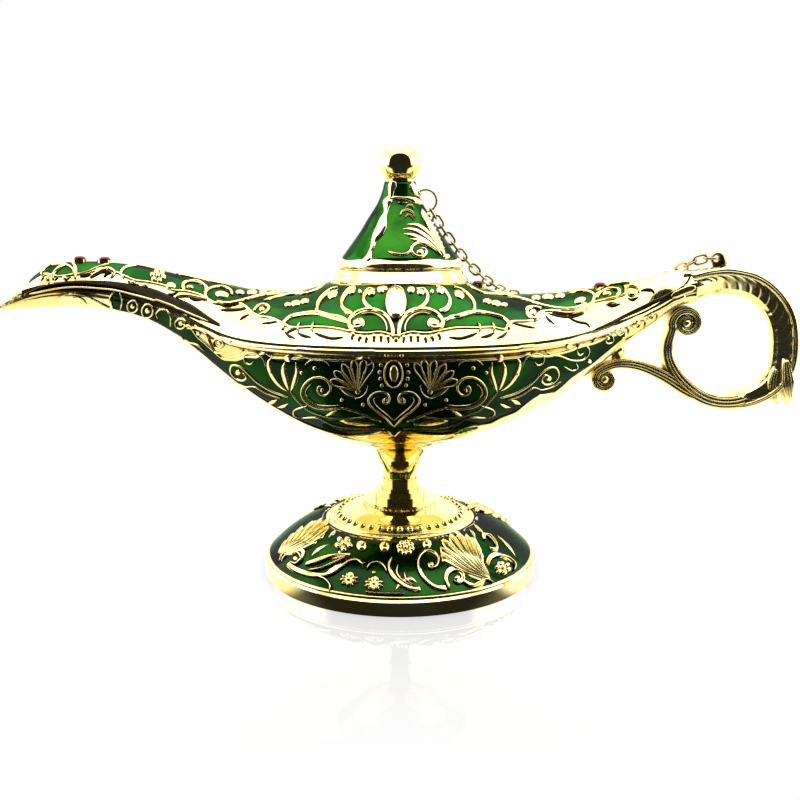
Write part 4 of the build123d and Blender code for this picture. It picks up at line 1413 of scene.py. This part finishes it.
def edgeFoot(relief):
    beading, edges = footRelief["beading"], footRelief["edges"]
    for k in range(beading["count"]):
        out = outward(math.tau * k / beading["count"])
        place, normal = footGround.fromAbove(*(out * beading["radius"]).xy)
        first = out.cross(normal).normalized() * beading["size"]
        relief.knop(place, normal, first, normal.cross(first), beading["rise"])
    hem, brow = [], []
    for k in range(edges["count"]):
        a = math.tau * k / edges["count"]
        hem.append((*footGround.fromRound(a, edges["low"]), edges["half"]))
        x, y = math.sin(a) * edges["dome"], -math.cos(a) * edges["dome"]
        brow.append((*footGround.fromAbove(x, y), edges["half"]))
    relief.strip(hem, edges["rise"], closed=True)
    relief.strip(brow, edges["rise"], closed=True)


def castFoot():
    look = footRelief
    cords = Relief(footGround, (here, halfTurn), enamelRise, look["cord"], look["cordSwell"])
    strokesOf(cords, look["strokes"])
    cords.cast("foot_cords", shadedEnamel)
    relief = Relief(footGround, (here, halfTurn), look["cord"], look["fine"], look["fineSwell"])
    strokesOf(relief, look["strokes"])
    relief.lift, relief.swell, relief.rise = enamelRise, 1.0, look["rise"]
    for width, pixels in look["leaves"].values():
        relief.leaf(width, pixels)
    for root, tips, width in look["fans"]:
        relief.fan(root, tips, width, look["fanVein"], look["proud"])
    relief.rise = look["proud"]
    for spot in look["rosettes"]:
        relief.rosette(*spot, look["rosetteSqueeze"])
    for u, v, radius in look["balls"]:
        relief.bead(u, v, radius, radius * look["ballSqueeze"], rise=look["ballRise"])
    for spot in look["stars"]:
        relief.star(*spot, look["starSqueeze"])
    relief.rise = look["rise"]
    for u, v, radius in look["beads"]:
        relief.bead(u, v, radius, radius * look["beadSqueeze"])
    relief.copies = (here,)
    edgeFoot(relief)
    relief.cast("foot_relief")


castFoot()
print("foot relief cast")

stoneForm = {"radius": 1.5 * mm, "seat": 0.8 * mm, "rise": 0.85 * mm, "count": 28}


def setStones():
    radius, rise, count = stoneForm["radius"], stoneForm["rise"], stoneForm["count"]
    for name in [n for n in nodes if n.startswith("red_stone")]:
        low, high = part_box(name)
        stone = Relief(None, (here,), 0.0, rise)
        middle = Vector(((low.x + high.x) / 2, (low.y + high.y) / 2, low.z + stoneForm["seat"]))
        axes = (Vector((0, 0, 1)), Vector((radius, 0, 0)), Vector((0, radius, 0)))
        stone.knop(middle, *axes, rise, count)
        cabochon = stone.cast(name.replace("red_stone", "cabochon"), ruby)
        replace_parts(cabochon, name)


setStones()

# Ear that holds the chain's last link, in mm; the outer radius round the hole goes by angle from the right
lugForm = {
    "hole": 0.85,
    "plate": 1.4,
    "outer": [
        (0, 2.4), (45, 2.05), (90, 1.75), (135, 1.5), (180, 1.4), (225, 1.6), (270, 2.3), (300, 2.7),
        (330, 3.2), (360, 2.4),
    ],
    "thin": 0.4,
    "thicker": 0.45,
    "shoulder": 0.15,        # how far in from the outer edge the section starts to thin
    "steps": 48,
}


def castLug():
    look = lugForm
    low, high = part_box("chain_lug")
    middle = Vector(((low.x + high.x) / 2, 0, high.z - look["plate"] * mm))
    rings = []
    for k in range(look["steps"]):
        turn = 360 * k / look["steps"]
        a = math.radians(turn)
        outer, hole = along(look["outer"], turn), look["hole"]
        thick = look["thin"] + look["thicker"] * max(0.0, math.cos(a))
        centre, shoulder = (hole + outer) / 2, outer - look["shoulder"]
        section = (
            (hole, -0.7), (hole, 0.7), (centre, 1.0), (shoulder, 0.75),
            (outer, 0.0), (shoulder, -0.75), (centre, -1.0),
        )
        spots = [Vector((math.cos(a) * r, y * thick, math.sin(a) * r)) for r, y in section]
        rings.append([middle + spot * mm for spot in spots])
    points, faces = [], []
    joinRings(points, faces, rings, closed=True)
    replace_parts(addPiece("lug_casting", points, faces, wornGilt, "body"), "chain_lug")


castLug()
print("stones set and lug cast")

# Handle: middle lines in mm from the tail's end, x, z and half the thickness
handleForm = {
    "ring": [
        (-3.0, 0.3, 4.1), (0.0, 0.3, 4.1), (4.5, 1.4, 3.8), (10.0, 1.7, 3.7), (16.3, 0.1, 3.6),
        (21.2, -3.7, 3.5), (24.4, -8.9, 3.5), (25.45, -15.4, 3.45), (25.0, -21.4, 3.3), (22.2, -26.1, 2.9),
        (16.9, -29.3, 2.4), (10.2, -30.5, 2.1), (4.2, -29.1, 2.1), (-1.3, -25.0, 2.0), (-4.8, -20.1, 1.7),
        (-5.7, -15.4, 1.5), (-4.8, -11.1, 1.3),
    ],
    "arm": [
        (5.0, -29.5, 1.9), (0.0, -27.2, 1.9), (-6.5, -23.3, 1.7), (-13.0, -20.6, 1.6), (-19.0, -20.1, 1.5),
        (-23.2, -21.9, 1.3),
    ],
    "tip": [
        (24.6, -15.0, 0.2), (25.1, -18.0, 0.7), (25.7, -21.5, 1.5), (26.3, -25.0, 1.9), (26.9, -28.4, 1.3),
        (27.5, -31.2, 0.3),
    ],
    "tipWidth": 1.2,         # of the strap's own
    "lobe": [
        (23.4, -20.0, 0.5), (22.8, -24.0, 1.5), (22.8, -27.0, 1.7), (23.6, -29.6, 1.1), (25.2, -31.0, 0.3),
    ],
    "lobeWidth": 0.95,
    "flare": 2.6,            # how much wider the ring is where it leaves the tail
    "flareSpan": (2.3, 11.0),
    "flareSquare": 16,       # how square the flare is across the strap
    "flareLean": 1.1,        # how fast it fades towards the outer edge
    "ringEye": (-1.0, -9.5),
    "armEye": (-21.9, -24.3),
    "ringTurns": -1.55,      # of the scroll, seen from the front
    "armTurns": 1.55,
    "eyeRadius": 1.3,
    "eyeWidth": 0.86,        # of the strap's own
    "eyeTip": 0.12,          # least radius, of the full one
    "eyeSquare": 8,
    "eyeSteps": 14,
    "eyeSides": 20,
    "halfWidth": 3.6,
    "narrow": 0.62,          # width of a thin strap, of the full width
    "fullAt": 4.2,           # half thickness from which it has the full width
    "pointAt": 1.1,          # a tip narrows under this half thickness
    "boxReach": 29.0,        # from the tail's end to the handle's far side
    "boxDrop": 32.6,         # from the tail's middle to the handle's underside
    "step": 0.35,
    "across": 40,            # steps across the strap, more are set where its section bends
    "square": 9.0,           # how square the strap's section is
    "reeds": (-0.55, -0.12, 0.3),    # thin ridges along the strap, with its edges at -1 and 1
    "reedWidth": 0.035,
    "reedSpots": (-1.8, -0.9, 0, 0.9, 1.8),      # samples over a reed, in its widths
    "reedRise": 0.05,
    "leafFrom": 3.0,         # along the ring, in mm
    "leafTo": 60.0,
    "leafGrow": 5.0,         # over how far it begins
    "leafFade": 3.0,         # and ends
    "ribPitch": 3.1,
    "ribSweep": 5.0,         # how far a rib runs along while it crosses the leaf
    "ribWidth": 0.12,
    "ribEdge": 0.9,          # inner end of the ribs, and of the sunk face with its slope
    "faceEdge": 0.88,
    "faceSlope": 0.1,
    "leafSink": 0.05,
    "edgeLine": 0.37,
    # across the leaf: how far it stands out, from its inner edge at -1 to its outer edge at 1
    "leafFace": [
        (-1, 0.0), (-0.96, 0.22), (-0.88, 0.34), (-0.6, 0.60), (0.36, 0.90), (0.40, 0.98), (0.44, 0.98),
        (0.48, 0.86), (0.53, 0.86), (0.6, 0.97), (0.72, 1.0), (0.83, 0.93), (0.92, 0.70), (1, 0.0),
    ],
}
scrollForm = {
    "count": 22,
    "tighten": 1.15,
    "share": 0.86,           # of the radius, that shrinks by the power above
    "core": 1.15,            # radius at the end, in mm
    "thin": 0.55,            # how much thickness is lost
}
low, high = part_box("handle")
tailEnd = high.x - handleForm["boxReach"] * mm
tailLevel = low.z + handleForm["boxDrop"] * mm


def atTail(x, y, z):
    return Vector((tailEnd + x * mm, y * mm, tailLevel + z * mm))


def scrollOn(line, eye, turns):
    form = scrollForm
    x, z, thick = line[-1]
    out = Vector((x - eye[0], z - eye[1]))
    start = math.atan2(out.y, out.x)
    points = []
    for k in range(1, form["count"] + 1):
        t = k / form["count"]
        shrink = (1 - t) ** form["tighten"] * form["share"] + (1 - form["share"]) * (1 - t)
        radius = out.length * shrink + form["core"] * t
        a = start + turns * math.tau * t
        thin = thick * (1 - form["thin"] * t)
        points.append((eye[0] + radius * math.cos(a), eye[1] + radius * math.sin(a), thin))
    return line + points


def bell(value, width):
    return math.exp(-(value / width) ** 2)


def share(value):
    return min(1.0, max(0.0, value))


def strapDepth(q, gone, onLeaf, onReed):
    form = handleForm
    full = max(0.0, 1 - abs(q) ** form["square"]) ** 0.5
    reeds = form["reedRise"] * sum(bell(q - c, form["reedWidth"]) for c in form["reeds"])
    lean = along(form["leafFace"], q)
    edge = form["edgeLine"]
    inside = share((q + form["ribEdge"]) / (edge + form["ribEdge"]))
    phase = (gone - form["ribSweep"] * math.sqrt(1 - inside * inside)) / form["ribPitch"] % 1.0
    face = share((q + form["faceEdge"]) / form["faceSlope"]) if q < edge else 0.0
    sunk = form["leafSink"] * face * (1 - bell(phase - 0.5, form["ribWidth"]))
    return (full + (lean - full) * (1 - onReed)) * (1 + reeds * onReed - sunk * onLeaf)


def strapSamples():
    form = handleForm
    spots = {round(-1 + 2 * k / form["across"], 3) for k in range(form["across"] + 1)}
    spots.update(q for q, _ in form["leafFace"])
    spots.update(round(c + n * form["reedWidth"], 3) for c in form["reeds"] for n in form["reedSpots"])
    return sorted(spots)


def sweep(points, faces, line, leaf, slim=None):
    form = handleForm
    path = smoothLine(line, form["step"])
    spots = strapSamples()
    ringSpots = [(q, -1) for q in spots] + [(q, 1) for q in reversed(spots[1:-1])]
    near, far = form["flareSpan"]
    rings = []
    gone = 0.0
    for i, (x, z, thick) in enumerate(path):
        before, after = path[max(i - 1, 0)], path[min(i + 1, len(path) - 1)]
        way = Vector((after[0] - before[0], 0, after[1] - before[1])).normalized()
        out = way.cross(Vector((0, 1, 0)))
        wide = form["halfWidth"] * (form["narrow"] + (1 - form["narrow"]) * min(1.0, thick / form["fullAt"]))
        if slim:
            wide *= slim * min(1.0, thick / form["pointAt"])
        if i:
            gone += math.hypot(x - path[i - 1][0], z - path[i - 1][1])
        t = share((gone - near) / (far - near))
        flare = form["flare"] * (1 - t * t * (3 - 2 * t)) if leaf and gone > near else 0.0
        onReed = share(1 - (form["leafTo"] - gone) / form["leafFade"]) if leaf else 1.0
        onLeaf = share((gone - form["leafFrom"]) / form["leafGrow"]) * (1 - onReed)
        ring = []
        for q, side in ringSpots:
            stand = strapDepth(q, gone, onLeaf, onReed) * wide
            stand += flare * (1 - q ** form["flareSquare"]) * max(0.0, 1 - form["flareLean"] * max(0.0, q))
            ring.append(atTail(*(Vector((x, side * stand, z)) + out * thick * q)))
        rings.append(ring)
    joinRings(points, faces, rings)


def eyeBoss(points, faces, eye):
    form = handleForm
    wide = form["halfWidth"] * form["eyeWidth"]
    turns = [math.tau * k / form["eyeSides"] for k in range(form["eyeSides"])]
    rings = []
    for i in range(form["eyeSteps"] + 1):
        t = -1 + 2 * i / form["eyeSteps"]
        across = form["eyeRadius"] * max(form["eyeTip"], 1 - t ** form["eyeSquare"])
        circle = [(eye[0] + across * math.cos(a), eye[1] + across * math.sin(a)) for a in turns]
        rings.append([atTail(x, t * wide, z) for x, z in circle])
    joinRings(points, faces, rings)


post = {
    "x": -18.5,              # from the tail's end, in mm
    "foot": -20.4,           # from the tail's middle
    "profile": [(1.6, 0.0), (2.0, 1.0), (1.4, 2.0), (2.1, 3.2), (2.3, 4.2), (1.6, 5.2), (1.6, 9.0)],
    "sides": 24,
}


def postPiece(points, faces):
    turns = [math.tau * k / post["sides"] for k in range(post["sides"])]
    joinRings(points, faces, [
        [atTail(post["x"] + radius * math.cos(a), radius * math.sin(a), post["foot"] + up) for a in turns]
        for radius, up in post["profile"]
    ])


def castHandle():
    points, faces = [], []
    form = handleForm
    sweep(points, faces, scrollOn(form["ring"], form["ringEye"], form["ringTurns"]), True)
    sweep(points, faces, scrollOn(form["arm"], form["armEye"], form["armTurns"]), False)
    sweep(points, faces, form["tip"], False, form["tipWidth"])
    sweep(points, faces, form["lobe"], False, form["lobeWidth"])
    eyeBoss(points, faces, form["ringEye"])
    eyeBoss(points, faces, form["armEye"])
    postPiece(points, faces)
    piece = addPiece("handle_casting", points, faces, gilt, "body")
    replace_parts(piece, "handle")


castHandle()
print("handle cast")

studio = {
    "floorSide": 6.0,
    "floorMirror": 0.16,     # share of the floor that mirrors the lamp, by the foot
    "mirrorReach": (0.036, 0.105),
    "mirrorRough": 0.04,
    "contactShade": 0.35,    # how dark the floor gets under the foot's edge
    "shadeReach": 0.02,
    "floorFront": (-0.035, 0.005),
    "floorWedge": (0.004, 1.3),    # half width of the floor's dark front at the lamp, and how fast it widens
    "wedgeEdge": (0.7, 1.05),
    "floorEnd": (0.12, 0.19),      # how far in front the white floor ends
    "tentFront": (0.36, 0.52),     # round opening of the tent, towards the front
    "fill": 0.75,            # light from the white tent
    "frontDark": 0.985,      # how much of the white the tent's open front takes away
    "sheen": 1.35,           # how bright the white is in the metal's mirror
    "lamps": {
        "topSoftbox": {"place": (0.0, 0.08, 0.60), "turn": (0, 0, 0), "size": (1.0, 0.8), "power": 5.0},
        "leftSoftbox": {"place": (-0.6, 0.10, 0.28), "turn": (0, -78, 0), "size": (0.5, 0.8), "power": 2.6},
        "rightSoftbox": {"place": (0.6, 0.10, 0.28), "turn": (0, 78, 0), "size": (0.5, 0.8), "power": 2.6},
    },
}


def makeFloor():
    half = studio["floorSide"] / 2
    mesh = bpy.data.meshes.new("studioFloor")
    z = min(0.0, cadBox[0].z)
    corners = [(-half, -half, z), (half, -half, z), (half, half, z), (-half, half, z)]
    mesh.from_pydata(corners, [], [(0, 1, 2, 3)])
    material, tree = newFinish("paleFloor")
    seen = tree.add("ShaderNodeLightPath")
    glossy = seen.other("Is Glossy Ray")
    x = tree.add("ShaderNodeSeparateXYZ", None, {0: tree.add("ShaderNodeNewGeometry")})
    y = x.other(1)
    front = 1 - tree.ease(y, *studio["floorFront"])
    near, spread = studio["floorWedge"]
    beside = (x * x) ** 0.5 / ((y * y) ** 0.5 * spread + near)
    front = front * (1 - tree.ease(beside, *studio["wedgeEdge"]))
    end = tree.ease(0 - y, *studio["floorEnd"])
    dark = glossy * (front + end - front * end) * studio["frontDark"]
    shade = seen * tree.shutIn(studio["shadeReach"], samples=8) * studio["contactShade"]
    gain = 1 + glossy * (studio["sheen"] - 1)
    white = tree.add("ShaderNodeEmission", None, {"Color": (1 - dark - shade) * gain})
    gloss = {"Color": (1, 1, 1, 1), "Roughness": studio["mirrorRough"]}
    mirror = tree.add("ShaderNodeBsdfGlossy", None, gloss)
    away = (x * x + y * y) ** 0.5
    shown = seen * studio["floorMirror"] * (1 - tree.ease(away, *studio["mirrorReach"]))
    surface = tree.add("ShaderNodeMixShader", None, {0: shown, 1: white, 2: mirror})
    tree.add("ShaderNodeOutputMaterial", None, {"Surface": surface})
    mesh.materials.append(material)
    floor = bpy.data.objects.new("studioFloor", mesh)
    scene.collection.objects.link(floor)


def makeTent():
    world = bpy.data.worlds.new("whiteTent")
    scene.world = world
    world.use_nodes = True
    tree = Shading(world.node_tree)
    seen = tree.add("ShaderNodeLightPath")
    glossy = seen.other("Is Glossy Ray")
    y = tree.add("ShaderNodeSeparateXYZ", None, {0: tree.add("ShaderNodeTexCoord")}, out=1)
    front = tree.ease(0 - y, *studio["tentFront"])
    inMetal = glossy * (1 - front * studio["frontDark"]) * studio["sheen"]
    white = seen + (1 - seen) * (inMetal + (1 - glossy) * studio["fill"])
    sky = tree.add("ShaderNodeBackground", None, {"Color": white})
    tree.add("ShaderNodeOutputWorld", None, {"Surface": sky})


def makeLamps():
    for name, look in studio["lamps"].items():
        data = bpy.data.lights.new(name, "AREA")
        data.shape = "RECTANGLE"
        data.size, data.size_y = look["size"]
        data.energy = look["power"]
        lamp = bpy.data.objects.new(name, data)
        lamp.location = look["place"]
        lamp.rotation_euler = [math.radians(a) for a in look["turn"]]
        lamp.visible_camera = False
        scene.collection.objects.link(lamp)


makeFloor()
makeTent()
makeLamps()
scene.view_settings.view_transform = "Standard"
print("studio lit")
